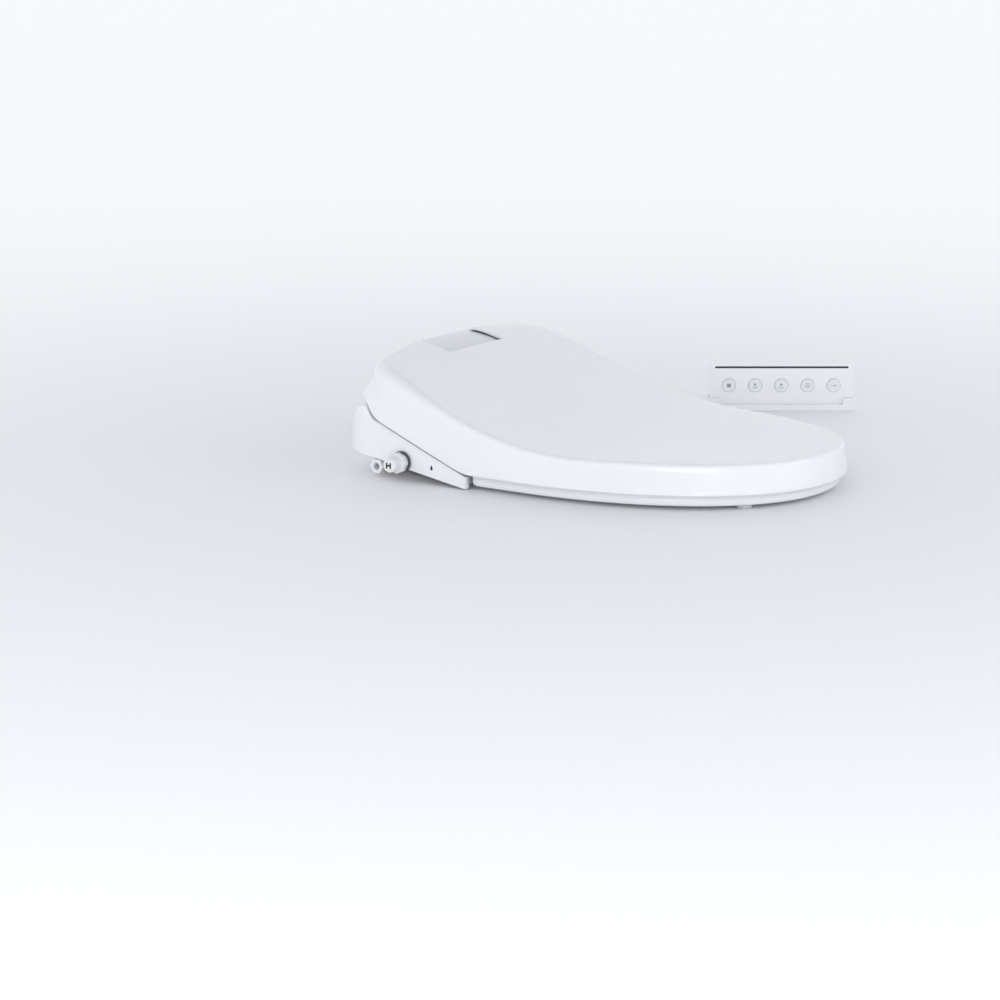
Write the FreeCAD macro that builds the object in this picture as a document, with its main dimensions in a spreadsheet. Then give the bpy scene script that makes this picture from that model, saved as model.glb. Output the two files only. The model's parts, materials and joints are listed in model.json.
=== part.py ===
"""Electric bidet seat: a lid and a heated seat ring hinged on a wash unit, with a stand-up remote.

Frame: millimetres, +Z up, front of the seat towards -Y. The origin is the middle of the line
between the two mounting bolts, on the plane where the unit rests on the toilet bowl.
"""
import FreeCAD, Part
import math
import os
from types import SimpleNamespace

from FreeCAD import Placement, Rotation, Vector
import Sketcher

# ---------------------------------------------------------------- driving dimensions (mm, degrees)
SIZES = {
    # lid plan and profile
    "lid_half_width": 195.0,
    "lid_nose": 283.5,
    "lid_nose_power": 2.11,
    "lid_widest": 194.0,
    "lid_rear": 52.0,
    "lid_corner": 60.0,
    "lid_taper": 7.0,
    "lid_wall": 3.0,
    "lid_front_height": 50.0,
    "lid_rear_height": 127.0,
    "lid_crown_front": 2.0,
    "lid_crown_rear": 10.0,
    "ramp_start": 290.0,
    "ramp_end": 45.0,
    "ramp_power": 1.42,
    "skirt_height": 18.0,
    "skirt_turn": 118.0,
    "skirt_slope": 0.389,
    "skirt_kink": 12.0,
    "skirt_corner": 25.5,
    "skirt_corner_height": 88.0,
    "lip_height": 112.0,
    "notch_half_width": 57.0,
    "notch_front": 7.5,
    # hinge
    "hinge_back": 34.0,
    "hinge_height": 75.0,
    "shaft_radius": 4.0,
    "shaft_play": 0.06,
    "shaft_inner": 96.0,
    "seat_lug_inner": 122.0,
    "seat_lug_width": 18.0,
    "seat_lug_radius": 11.0,
    "lid_lug_inner": 143.0,
    "lid_lug_width": 14.0,
    "lid_lug_radius": 10.0,
    "damper_radius": 9.5,
    "damper_length": 36.0,
    # seat ring
    "seat_inset": 8.0,
    "seat_bottom": 5.0,
    "seat_split": 14.0,
    "seat_top": 33.0,
    "seat_wall": 3.0,
    "seat_rear": 66.0,
    "seat_shoulder": 121.0,
    "seat_bar_half": 116.0,
    "seat_hole_half_width": 105.0,
    "seat_hole_half_length": 140.0,
    "seat_hole_centre": 262.0,
    "arm_thickness": 14.0,
    "arm_front": 125.0,
    "arm_front_height": 22.0,
    # wash unit
    "cover_inset": 5.0,
    "cover_wall": 3.0,
    "cover_gap": 1.5,
    "dome_half_width": 118.0,
    "dome_front": 62.0,
    "dome_rear": 48.0,
    "dome_drop": 8.0,
    "side_rear": 32.0,
    "shelf_rear": 60.0,
    "shelf_corner": 42.0,
    "shelf_height": 42.0,
    "shelf_front": 10.0,
    "ear_foot": 150.0,
    "ear_head": 162.0,
    "ear_height": 57.0,
    "trough_outer": 162.0,
    "trough_height": 14.0,
    "trough_clear": 17.0,
    "hem_height": 0.6,
    "hem_slope": 0.157,
    "window_half_width": 54.0,
    "window_front": 4.0,
    "window_recess": 4.5,
    "base_bottom": 3.2,
    "base_wall": 3.0,
    "base_height": 30.0,
    "slip": 0.5,
    # mounting
    "bolt_spacing": 140.0,
    "slot_width": 9.0,
    "slot_length": 30.0,
    "plate_length": 190.0,
    "plate_width": 50.0,
    "plate_thickness": 3.0,
    # water inlet
    "inlet_back": 30.0,
    "inlet_height": 22.0,
    "inlet_radius": 10.0,
    "cap_radius": 10.0,
    "cap_flange": 11.5,
    "cap_length": 25.7,
    "cap_setback": 2.7,
    "screen_radius": 7.0,
    "hose_back": 8.0,
    "hose_height": 11.5,
    "hose_radius": 5.0,
    # wand
    "port_front": 60.0,
    "port_height": 14.0,
    "wand_slope": 30.0,
    "wand_radius": 7.0,
    "wand_length": 111.0,
    "wand_play": 0.25,
    "pinion_teeth": 16.0,
    "gear_module": 1.0,
    "pinion_back": 44.0,
    # dryer and electrics
    "blower_x": 72.0,
    "blower_y": -10.0,
    "blower_radius": 29.0,
    "blower_height": 26.0,
    "sheet_thickness": 2.0,
    "board_thickness": 1.6,
    # remote
    "remote_x": 425.0,
    "remote_y": -185.0,
    "remote_turn": -56.6,
    "remote_width": 180.0,
    "remote_height": 56.0,
    "remote_depth": 22.0,
    "remote_wall": 2.0,
    "remote_foot": 3.0,
    "bracket_height": 16.0,
    "key_radius": 8.5,
    "key_pitch": 33.0,
    "key_play": 0.3,
}


class Dim:
    """A size that carries its number together with the spreadsheet formula it comes from."""

    def __init__(self, value, text):
        self.value = value
        self.text = text

    def _join(self, other, sign, result, swap=False):
        mine, theirs = self.text, formula(other)
        if swap:
            mine, theirs = theirs, mine
        return Dim(result, "(%s %s %s)" % (mine, sign, theirs))

    def __add__(self, other):
        return self._join(other, "+", self.value + num(other))

    def __radd__(self, other):
        return self._join(other, "+", num(other) + self.value, swap=True)

    def __sub__(self, other):
        return self._join(other, "-", self.value - num(other))

    def __rsub__(self, other):
        return self._join(other, "-", num(other) - self.value, swap=True)

    def __mul__(self, other):
        return self._join(other, "*", self.value * num(other))

    def __rmul__(self, other):
        return self._join(other, "*", num(other) * self.value, swap=True)

    def __truediv__(self, other):
        return self._join(other, "/", self.value / num(other))

    def __neg__(self):
        return Dim(-self.value, "(-1 * %s)" % self.text)


def num(size):
    """The plain number of a size."""
    return size.value if isinstance(size, Dim) else float(size)


def formula(size):
    """The spreadsheet formula of a size."""
    return size.text if isinstance(size, Dim) else repr(float(size))


DOC = FreeCAD.newDocument("electric_bidet_seat")
SHEET = DOC.addObject("Spreadsheet::Sheet", "Sizes")
for row, (alias, amount) in enumerate(SIZES.items(), start=1):
    SHEET.set("A%d" % row, alias)
    SHEET.set("B%d" % row, repr(amount))
    SHEET.setAlias("B%d" % row, alias)
DOC.recompute()
s = SimpleNamespace(**{name: Dim(amount, "Sizes." + name) for name, amount in SIZES.items()})

X_AXIS, Y_AXIS, Z_AXIS = Vector(1, 0, 0), Vector(0, 1, 0), Vector(0, 0, 1)
ALONG_X = Rotation(Y_AXIS, 90)
ALONG_Y = Rotation(X_AXIS, -90)
ALONG_Z = Rotation()
FAR = 400.0
SUBPARTS = []


# ---------------------------------------------------------------- document helpers
def bind(item, prop, size):
    """Set a property and, where the size comes from the sheet, bind it there."""
    setattr(item, prop, num(size))
    if isinstance(size, Dim):
        item.setExpression(prop, size.text)


def place(item, x=0.0, y=0.0, z=0.0, turn=ALONG_Z):
    """Put an object at a place made of sheet sizes."""
    item.Placement = Placement(Vector(num(x), num(y), num(z)), turn)
    for letter, size in zip("xyz", (x, y, z)):
        if isinstance(size, Dim):
            item.setExpression("Placement.Base." + letter, size.text)
    return item


def fresh(kind, stem):
    """A new document object whose internal name is made from its stem."""
    return DOC.addObject(kind, stem)


def box(stem, low, high):
    """A Part box between two corners."""
    item = fresh("Part::Box", stem)
    for prop, start, end in zip(("Length", "Width", "Height"), low, high):
        bind(item, prop, end - start)
    return place(item, *low)


def rod(stem, radius, length, x=0.0, y=0.0, z=0.0, turn=ALONG_Z):
    """A Part cylinder that starts at a point."""
    item = fresh("Part::Cylinder", stem)
    bind(item, "Radius", radius)
    bind(item, "Height", length)
    return place(item, x, y, z, turn)


def cut(stem, base, *tools):
    """Base minus tools."""
    item = fresh("Part::Cut", stem)
    item.Base = base
    item.Tool = tools[0] if len(tools) == 1 else fuse(stem + "_tools", *tools)
    return item


def fuse(stem, *items):
    """One solid from several."""
    item = fresh("Part::MultiFuse", stem)
    item.Shapes = list(items)
    return item


def group(stem, *items):
    """Several separate solids in one sub-part."""
    item = fresh("Part::Compound", stem)
    item.Links = list(items)
    return item


def keep(item, label):
    """Make an object a sub-part: its label names its file."""
    item.Label = label
    SUBPARTS.append(item)
    return item


def raw(label, shape):
    """A sub-part whose free-form shape is worked out with Part's own functions."""
    item = fresh("Part::Feature", label)
    item.Shape = shape
    return keep(item, label)


# ---------------------------------------------------------------- PartDesign helpers
def new_body(label):
    """A PartDesign body that is a sub-part."""
    return keep(fresh("PartDesign::Body", label), label)


def sketch_on(body, role, lift=0.0):
    """A sketch on one of the body's own origin planes, lifted along the plane's normal."""
    sketch = body.newObject("Sketcher::SketchObject", body.Label + "_sketch")
    plane = next(item for item in body.Origin.OriginFeatures if item.Role == role)
    sketch.AttachmentSupport = [(plane, "")]
    sketch.MapMode = "FlatFace"
    sketch.AttachmentOffset = Placement(Vector(0, 0, num(lift)), Rotation())
    if isinstance(lift, Dim):
        sketch.setExpression("AttachmentOffset.Base.z", lift.text)
    return sketch


def hold(sketch, kind, *targets, size):
    """Add one dimension to a sketch, bound to the sheet."""
    index = sketch.addConstraint(Sketcher.Constraint(kind, *targets, num(size)))
    if isinstance(size, Dim):
        sketch.setExpression("Constraints[%d]" % index, size.text)


def polygon(sketch, points):
    """A closed outline whose every corner is held at its own two sizes."""
    first = sketch.GeometryCount
    ends = points[1:] + points[:1]
    for (ax, ay), (bx, by) in zip(points, ends):
        sketch.addGeometry(Part.LineSegment(Vector(num(ax), num(ay)), Vector(num(bx), num(by))))
    for step, (px, py) in enumerate(points):
        line, before = first + step, first + (step - 1) % len(points)
        sketch.addConstraint(Sketcher.Constraint("Coincident", before, 2, line, 1))
        hold(sketch, "DistanceX", line, 1, size=px)
        hold(sketch, "DistanceY", line, 1, size=py)


def rectangle(sketch, low, high):
    """A rectangle between two corners of the sketch."""
    polygon(sketch, [(low[0], low[1]), (high[0], low[1]), (high[0], high[1]), (low[0], high[1])])


def circle(sketch, x, y, radius):
    """A circle held at its centre and radius."""
    index = sketch.addGeometry(Part.Circle(Vector(num(x), num(y)), Z_AXIS, num(radius)))
    hold(sketch, "DistanceX", index, 3, size=x)
    hold(sketch, "DistanceY", index, 3, size=y)
    hold(sketch, "Radius", index, size=radius)


def pad(body, sketch, length, both=False, back=False):
    """Raise a sketch into the body's solid."""
    feature = body.newObject("PartDesign::Pad", body.Label + "_pad")
    feature.Profile = sketch
    bind(feature, "Length", length)
    feature.SideType = "Symmetric" if both else "One side"
    feature.Reversed = back
    DOC.recompute()
    return feature


def pocket(body, sketch, length, both=False, back=False):
    """Cut a sketch out of the body, and make sure that something was cut."""
    before = body.Shape.Volume
    feature = body.newObject("PartDesign::Pocket", body.Label + "_pocket")
    feature.Profile = sketch
    bind(feature, "Length", length)
    feature.SideType = "Symmetric" if both else "One side"
    feature.Reversed = back
    DOC.recompute()
    if body.Shape.Volume > before - 1e-6:
        raise RuntimeError("a pocket of %s cuts nothing" % body.Label)
    return feature


def turned(label, profile):
    """A body turned about its Z axis from an outline of (radius, height) corners."""
    body = new_body(label)
    sketch = sketch_on(body, "XZ_Plane")
    polygon(sketch, profile)
    feature = body.newObject("PartDesign::Revolution", label + "_turn")
    feature.Profile = sketch
    feature.ReferenceAxis = (sketch, ["V_Axis"])
    feature.Angle = 360
    DOC.recompute()
    return body


def soften(body, radius, wanted):
    """Round the edges of the body's tip that the test picks."""
    tip = body.Tip
    names = ["Edge%d" % (i + 1) for i, edge in enumerate(tip.Shape.Edges) if wanted(edge)]
    feature = body.newObject("PartDesign::Fillet", body.Label + "_fillet")
    feature.Base = (tip, names)
    bind(feature, "Radius", radius)
    DOC.recompute()
    return feature


def upright(edge):
    """True for a straight edge along the body's Z axis."""
    run = edge.Vertexes[-1].Point - edge.Vertexes[0].Point
    return run.Length > 1 and abs(run.z) > 0.99 * run.Length


# ---------------------------------------------------------------- shared curves of the lid and unit
def plan_wire(inset, rear_size=None, corner_size=None):
    """The lid's plan moved inwards: superellipse nose, tapering sides, round rear corners."""
    half = num(s.lid_half_width) - inset
    nose = num(s.lid_nose) - inset
    wide = -num(s.lid_widest)
    rear = num(rear_size or s.lid_rear) - inset
    corner = num(corner_size or s.lid_corner) - inset
    tail = half - num(s.lid_taper)
    power = 2.0 / num(s.lid_nose_power)
    points = []
    for step in range(17):
        angle = math.pi * step / 16
        reach = abs(math.cos(angle)) ** power
        points.append(Vector(math.copysign(half * reach, math.cos(angle)),
                             wide - nose * abs(math.sin(angle)) ** power, 0))
    front = Part.BSplineCurve()
    front.interpolate(Points=points, InitialTangent=-Y_AXIS, FinalTangent=Y_AXIS)
    edges = [front.toShape()]
    for side in (-1, 1):
        turn_y = rear - corner
        flank = Part.BezierCurve()
        flank.setPoles([Vector(side * half, wide, 0), Vector(side * half, (wide + turn_y) / 2, 0),
                        Vector(side * tail, turn_y, 0)])
        middle = Vector(side * (tail - corner + corner * math.sqrt(0.5)),
                        turn_y + corner * math.sqrt(0.5), 0)
        bend = Part.Arc(Vector(side * tail, turn_y, 0), middle, Vector(side * (tail - corner), rear, 0))
        edges += [flank.toShape(), bend.toShape()]
    edges.append(Part.makeLine(Vector(corner - tail, rear, 0), Vector(tail - corner, rear, 0)))
    return Part.Wire(Part.__sortEdges__(edges))


def plan_block(inset, low, high, rear_size=None, corner_size=None):
    """A solid with the lid's plan, or the plan with another rear, between two heights."""
    face = Part.Face(plan_wire(inset, rear_size, corner_size))
    face.translate(Vector(0, 0, low))
    return face.extrude(Vector(0, 0, high - low))


def ramp(y):
    """How far the lid has climbed from its low front (0) to its high rear (1)."""
    run = (y + num(s.ramp_start)) / (num(s.ramp_end) + num(s.ramp_start))
    run = min(max(run, 0.0), 1.0) ** num(s.ramp_power)
    return run * run * (3 - 2 * run)


def roof_height(x, y):
    """Height of the lid's top surface."""
    climb = ramp(y)
    crease = num(s.lid_front_height) + climb * (num(s.lid_rear_height) - num(s.lid_front_height))
    crown = num(s.lid_crown_front) + climb * (num(s.lid_crown_rear) - num(s.lid_crown_front))
    return crease + crown * (1 - (x / num(s.lid_half_width)) ** 2)


def under_roof(drop):
    """Everything below the lid's top surface, lowered by a drop."""
    reach = num(s.lid_half_width) + 20
    front = -(num(s.lid_widest) + num(s.lid_nose) + 30)
    back = num(s.lid_rear) + 40
    rows = []
    for i in range(21):
        y = front + (back - front) * i / 20
        rows.append([Vector(x, y, roof_height(x, y) - drop)
                     for x in (reach * (j - 4) / 4 for j in range(9))])
    surface = Part.BSplineSurface()
    surface.interpolate(rows)
    return surface.toShape().extrude(Vector(0, 0, -2 * FAR))


def block(x0, y0, z0, x1, y1, z1):
    """A plain box solid between two corners."""
    return Part.makeBox(x1 - x0, y1 - y0, z1 - z0, Vector(x0, y0, z0))


def slab(points, x0, x1):
    """A side outline of (y, z) points drawn out from x0 to x1."""
    wire = Part.makePolygon([Vector(x0, y, z) for y, z in points + points[:1]])
    return Part.Face(wire).extrude(Vector(x1 - x0, 0, 0))


def both_sides(shape):
    """A shape together with its mirror image across the middle plane."""
    return [shape, shape.mirror(Vector(0, 0, 0), X_AXIS)]


def cylinder(radius, length, x, y, z, along):
    """A cylinder solid from a point along a direction."""
    return Part.makeCylinder(num(radius), length, Vector(x, y, z), along)


def skirt_line(y):
    """Lower edge of the lid's side where it rises over the wash unit."""
    return num(s.skirt_height) + num(s.skirt_slope) * (y + num(s.skirt_turn))


def hem_line(y):
    """Lower edge of the wash unit's side cover."""
    return num(s.hem_height) + num(s.hem_slope) * (y + num(s.skirt_turn))


HINGE_Y, HINGE_Z = num(s.hinge_back), num(s.hinge_height)
ARM_SLOPE = (HINGE_Z - num(s.arm_front_height)) / (HINGE_Y + num(s.arm_front))
WAND_TURN = Rotation(X_AXIS, num(s.wand_slope))
WAND_DIRECTION = WAND_TURN.multVec(Y_AXIS)
PORT = Vector(0, -num(s.port_front), num(s.port_height))
REMOTE_TURN = Rotation(Z_AXIS, num(s.remote_turn))
CAP_SEAT = s.lid_half_width - s.cover_inset - s.cap_setback


def trough_line(y):
    """Floor of the troughs that the seat arms lie in."""
    slope = num(s.trough_height) + ARM_SLOPE * (y + num(s.skirt_turn) - num(s.cover_inset))
    return min(slope, HINGE_Z - num(s.trough_clear))


def wand_clearance(radius):
    """The space that the wand sweeps as it comes out of its port."""
    start = PORT - WAND_DIRECTION * FAR / 2
    return Part.makeCylinder(radius, FAR * 0.6, start, WAND_DIRECTION)


# ---------------------------------------------------------------- lid
def lid_bottom_cutter():
    """The space below the lid's lower edge, straight in front and rising to the rear corners."""
    floor, back, front = -20.0, FAR / 2, -FAR * 1.5
    kink, corner = num(s.skirt_kink), num(s.skirt_corner)
    points = [(front, floor), (front, num(s.skirt_height)), (-num(s.skirt_turn), num(s.skirt_height)),
              (kink, skirt_line(kink)), (corner, num(s.skirt_corner_height)),
              (back, num(s.skirt_corner_height)), (back, floor)]
    return slab(points, -FAR, FAR)


def lid_shell():
    """The one-piece lid: a thin shell with two hinge ribs and a notch for the window."""
    wall = num(s.lid_wall)
    outer = plan_block(0, 0, FAR / 2).common(under_roof(0)).cut(lid_bottom_cutter())
    shell = outer.cut(plan_block(wall, -FAR / 4, FAR / 2).common(under_roof(wall)))
    mouth = num(s.dome_half_width)
    rear = num(s.lid_rear)
    shell = shell.cut(block(-mouth, HINGE_Y, 0, mouth, rear + wall, num(s.lip_height)))
    notch = num(s.notch_half_width)
    shell = shell.cut(block(-notch, -num(s.notch_front), HINGE_Z, notch, rear + wall, FAR))
    radius, inner, width = num(s.lid_lug_radius), num(s.lid_lug_inner), num(s.lid_lug_width)
    web = block(inner, HINGE_Y - radius + 1, HINGE_Z, inner + width, HINGE_Y + radius - 1, FAR / 2)
    web = web.common(under_roof(wall / 2)).common(plan_block(wall / 2, 0, FAR / 2))
    rib = web.fuse(cylinder(radius, width, inner, HINGE_Y, HINGE_Z, X_AXIS))
    bore = cylinder(s.shaft_radius + s.shaft_play, width + 2, inner - 1, HINGE_Y, HINGE_Z, X_AXIS)
    shell = shell.fuse(both_sides(rib.cut(bore)))
    return raw("lid_shell", shell.removeSplitter())


def lid_bumpers():
    """Four soft pads under the lid that land on the seat."""
    spots = [(0.76, -200.0), (0.46, -418.0)]
    pads = []
    for share, y in spots:
        x = share * num(s.lid_half_width)
        stub = cylinder(7.0, FAR / 4, x, y, num(s.seat_top) + num(s.slip), Z_AXIS)
        pads += both_sides(stub.common(under_roof(num(s.lid_wall))))
    return raw("lid_bumpers", Part.makeCompound(pads))


# ---------------------------------------------------------------- seat ring
def seat_plan(inset, low, high):
    """The seat ring's plan block: the lid's plan, cut short where the wash unit begins."""
    solid = plan_block(num(s.seat_inset) + inset, low, high)
    shoulder, rear = -num(s.seat_shoulder) - inset, -num(s.seat_rear) - inset
    bar = num(s.seat_bar_half) - inset
    solid = solid.cut(block(-FAR, rear, low - 1, FAR, FAR, high + 1))
    return solid.cut(both_sides(block(bar, shoulder, low - 1, FAR, FAR, high + 1)))


def seat_hole(outset, low, high):
    """The oval opening of the ring, made wider by an outset."""
    long_half = num(s.seat_hole_half_length) + outset
    short_half = num(s.seat_hole_half_width) + outset
    centre = Vector(0, -num(s.seat_hole_centre), low)
    oval = Part.Ellipse(centre + Vector(0, long_half, 0), centre + Vector(short_half, 0, 0), centre)
    return Part.Face(Part.Wire(oval.toShape())).extrude(Vector(0, 0, high - low))


def seat_ring(inset, low, high):
    """A ring between two heights, set in from the seat's outside and from its hole."""
    return seat_plan(inset, low, high).cut(seat_hole(inset, low - 1, high + 1))


def seat_arm():
    """One seat arm with its hinge lug, at the right-hand trough."""
    inner, width = num(s.seat_lug_inner), num(s.seat_lug_width)
    reach = math.hypot(HINGE_Y + num(s.arm_front), HINGE_Z - num(s.arm_front_height))
    reach += 5 * num(s.seat_wall)
    half = num(s.arm_thickness) / 2
    arm = block(inner, -reach, -half, inner + width, 0, half)
    arm.rotate(Vector(0, 0, 0), X_AXIS, math.degrees(math.atan(ARM_SLOPE)))
    arm.translate(Vector(0, HINGE_Y, HINGE_Z))
    arm = arm.fuse(cylinder(s.seat_lug_radius, width, inner, HINGE_Y, HINGE_Z, X_AXIS))
    return arm.cut(cylinder(s.shaft_radius + s.shaft_play, width + 2, inner - 1, HINGE_Y, HINGE_Z, X_AXIS))


def seat_shells():
    """The heated top of the ring with its two arms, and the tray that closes it from below."""
    wall, split = num(s.seat_wall), num(s.seat_split)
    bottom, top = num(s.seat_bottom), num(s.seat_top)
    arch = wand_clearance(num(s.wand_radius) + 1.5)
    upper = seat_ring(0, split, top).cut(seat_ring(wall, split - 1, top - wall))
    upper = upper.fuse(both_sides(seat_arm())).cut(arch)
    raw("seat_top_shell", upper.removeSplitter())
    lower = seat_ring(0, bottom, split).cut(seat_ring(wall, bottom + wall, split + 1)).cut(arch)
    raw("seat_bottom_shell", lower)
    foil = seat_ring(3 * wall, top - wall - 0.6, top - wall)
    raw("seat_heater", foil)


def seat_bumpers():
    """Four rubber feet between the ring and the bowl."""
    feet = []
    for share, y in ((0.74, 215.0), (0.46, 418.0)):
        for side in (-1, 1):
            feet.append(rod("seat_foot", 9.0, s.seat_bottom, side * share * s.lid_half_width, -y, 0.0))
    return keep(group("seat_bumpers", *feet), "seat_bumpers")


# ---------------------------------------------------------------- wash unit casing
def base_outline(grow=0.0):
    """Half plan of the base tray, from the middle of its front round to the middle of its rear."""
    front = s.dome_front - s.cover_wall - s.slip + grow
    rear = s.shelf_rear - s.cover_wall - s.slip + grow
    horn = s.skirt_turn - 2 * s.cover_wall + grow
    horn_inner = s.dome_half_width + s.cover_wall + s.slip - grow
    return [(horn_inner, -front), (horn_inner, -horn), (172.0 + grow, -horn), (152.0 + grow, -22.0),
            (126.0 + grow, rear)]


def mirrored(points):
    """A half outline and its mirror image as one closed outline."""
    return points + [(-x, y) for x, y in reversed(points)]


def base_case():
    """The tray under the wash unit, with bolt windows, posts and passages."""
    body = new_body("base_case")
    sketch = sketch_on(body, "XY_Plane", s.base_bottom)
    polygon(sketch, mirrored(base_outline()))
    pad(body, sketch, s.base_height - s.base_bottom)
    floor = s.base_bottom + s.base_wall
    sketch = sketch_on(body, "XY_Plane", floor)
    polygon(sketch, mirrored(base_outline(-3.0)))
    pocket(body, sketch, s.base_height, back=True)
    sketch = sketch_on(body, "YZ_Plane")
    under = s.cover_wall + s.slip
    front = -num(s.skirt_turn)
    reach = front + (num(s.base_height + under) - trough_line(front)) / ARM_SLOPE
    polygon(sketch, [(front, trough_line(front) - under), (reach, s.base_height),
                     (reach, 2 * s.base_height), (front, 2 * s.base_height)])
    pocket(body, sketch, FAR, both=True)
    sketch = sketch_on(body, "XY_Plane", floor - s.base_wall - 1)
    for side in (-1, 1):
        middle = side * s.bolt_spacing / 2
        rectangle(sketch, (middle - 21, -11.0), (middle + 21, 11.0))
        for x, y in screw_spots():
            circle(sketch, side * x, y, 2.2)
    pocket(body, sketch, s.base_wall + 2, back=True)
    sketch = sketch_on(body, "XY_Plane", floor)
    for x, y in post_spots():
        circle(sketch, x, y, 4.0)
    pad(body, sketch, post_top() - floor)
    body.Label = "base_case_blank"
    SUBPARTS.remove(body)
    inlet = rod("inlet_way", s.inlet_radius + s.slip, 80.0, -190.0, -s.inlet_back, s.inlet_height, ALONG_X)
    hose = rod("hose_way", s.hose_radius + 0.2, 60.0, -180.0, s.hose_back, s.hose_height, ALONG_X)
    port = rod("wand_way", s.wand_radius + 0.6, 40.0, 0.0, -s.port_front, s.port_height,
               WAND_TURN.multiply(ALONG_Y))
    port_out = rod("wand_way_out", s.wand_radius + 0.6, 40.0, 0.0, -s.port_front, s.port_height,
                   WAND_TURN.multiply(Rotation(X_AXIS, 90)))
    gland = rod("gland_way", 6.2, 20.0, 95.0, s.shelf_rear - 13, 20.0, ALONG_Y)
    return keep(cut("base_case_cut", body, inlet, hose, port, port_out, gland), "base_case")


def screw_spots():
    """Where the case screws stand, on the right-hand side."""
    return [(145.0, -80.0), (120.0, 20.0)]


def post_spots():
    """Where the power supply's four posts stand."""
    return [(42.0, 16.0), (104.0, 16.0), (104.0, -46.0), (42.0, -46.0)]


def post_top():
    """Height of the posts, clear above the blower's motor."""
    return s.base_bottom + s.base_wall + s.blower_height + 20


def casing_block(inset):
    """The wash unit's outside when inset is 0, and its hollow when inset is the wall."""
    dome = num(s.dome_half_width) - inset
    front, rear = -num(s.dome_front) + inset, num(s.dome_rear) - inset
    side_rear = num(s.side_rear) - inset
    horn = -num(s.skirt_turn) + inset
    trough = num(s.trough_outer) + inset
    top = under_roof(num(s.dome_drop) + inset)
    low = num(s.base_bottom) + 1 - 2 * inset
    middle = block(-dome, front, low, dome, rear, FAR).common(top)
    gap = num(s.cover_gap) + inset
    kink = num(s.skirt_kink)
    under = inset
    cheek = [(horn, hem_line(horn) + under), (horn, skirt_line(horn) - gap), (kink, skirt_line(kink) - gap),
             (side_rear, skirt_line(side_rear) - gap), (side_rear, hem_line(side_rear) + under)]
    bend = (HINGE_Z - num(s.trough_clear) - num(s.trough_height)) / ARM_SLOPE
    bend += num(s.cover_inset) - num(s.skirt_turn)
    floor = [(horn, hem_line(horn) + under), (horn, trough_line(horn) - inset),
             (bend, trough_line(bend) - inset), (side_rear, trough_line(bend) - inset),
             (side_rear, hem_line(side_rear) + under)]
    plan = plan_block(num(s.cover_inset) + inset, -FAR / 4, FAR / 2)
    horn_inner = num(s.dome_half_width) + inset
    sides = []
    sides += both_sides(slab(cheek, trough, FAR).common(plan))
    sides += both_sides(slab(floor, horn_inner, trough + 0.1).common(plan))
    shelf_rear = num(s.shelf_rear) - inset
    start, end = -num(s.shelf_front), shelf_rear + 1
    level = num(s.shelf_height) - inset
    shelf = [(start, hem_line(start) + under), (start, level), (end, level), (end, hem_line(end) + under)]
    step_in = num(s.cover_inset) + inset
    body_plan = plan_block(step_in, -FAR / 4, FAR / 2, s.shelf_rear + s.cover_inset, s.shelf_corner)
    low_back = slab(shelf, -FAR, FAR).common(body_plan)
    middle = middle.fuse(low_back)
    ear_level = num(s.ear_height) - inset
    ear = [Vector(num(s.ear_foot) + inset, start, level - 1), Vector(num(s.ear_head) + inset, start, ear_level),
           Vector(FAR, start, ear_level), Vector(FAR, start, level - 1)]
    ear = Part.Face(Part.makePolygon(ear + ear[:1])).extrude(Vector(0, end - start, 0))
    sides += both_sides(ear.common(body_plan))
    if inset:
        reach = [(front, hem_line(front) + under), (front, trough_line(front) - inset),
                 (bend, trough_line(bend) - inset), (side_rear, trough_line(bend) - inset),
                 (side_rear, hem_line(side_rear) + under)]
        sides += both_sides(slab(reach, dome - 1, horn_inner + 1))
    return middle.multiFuse(sides)


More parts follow.
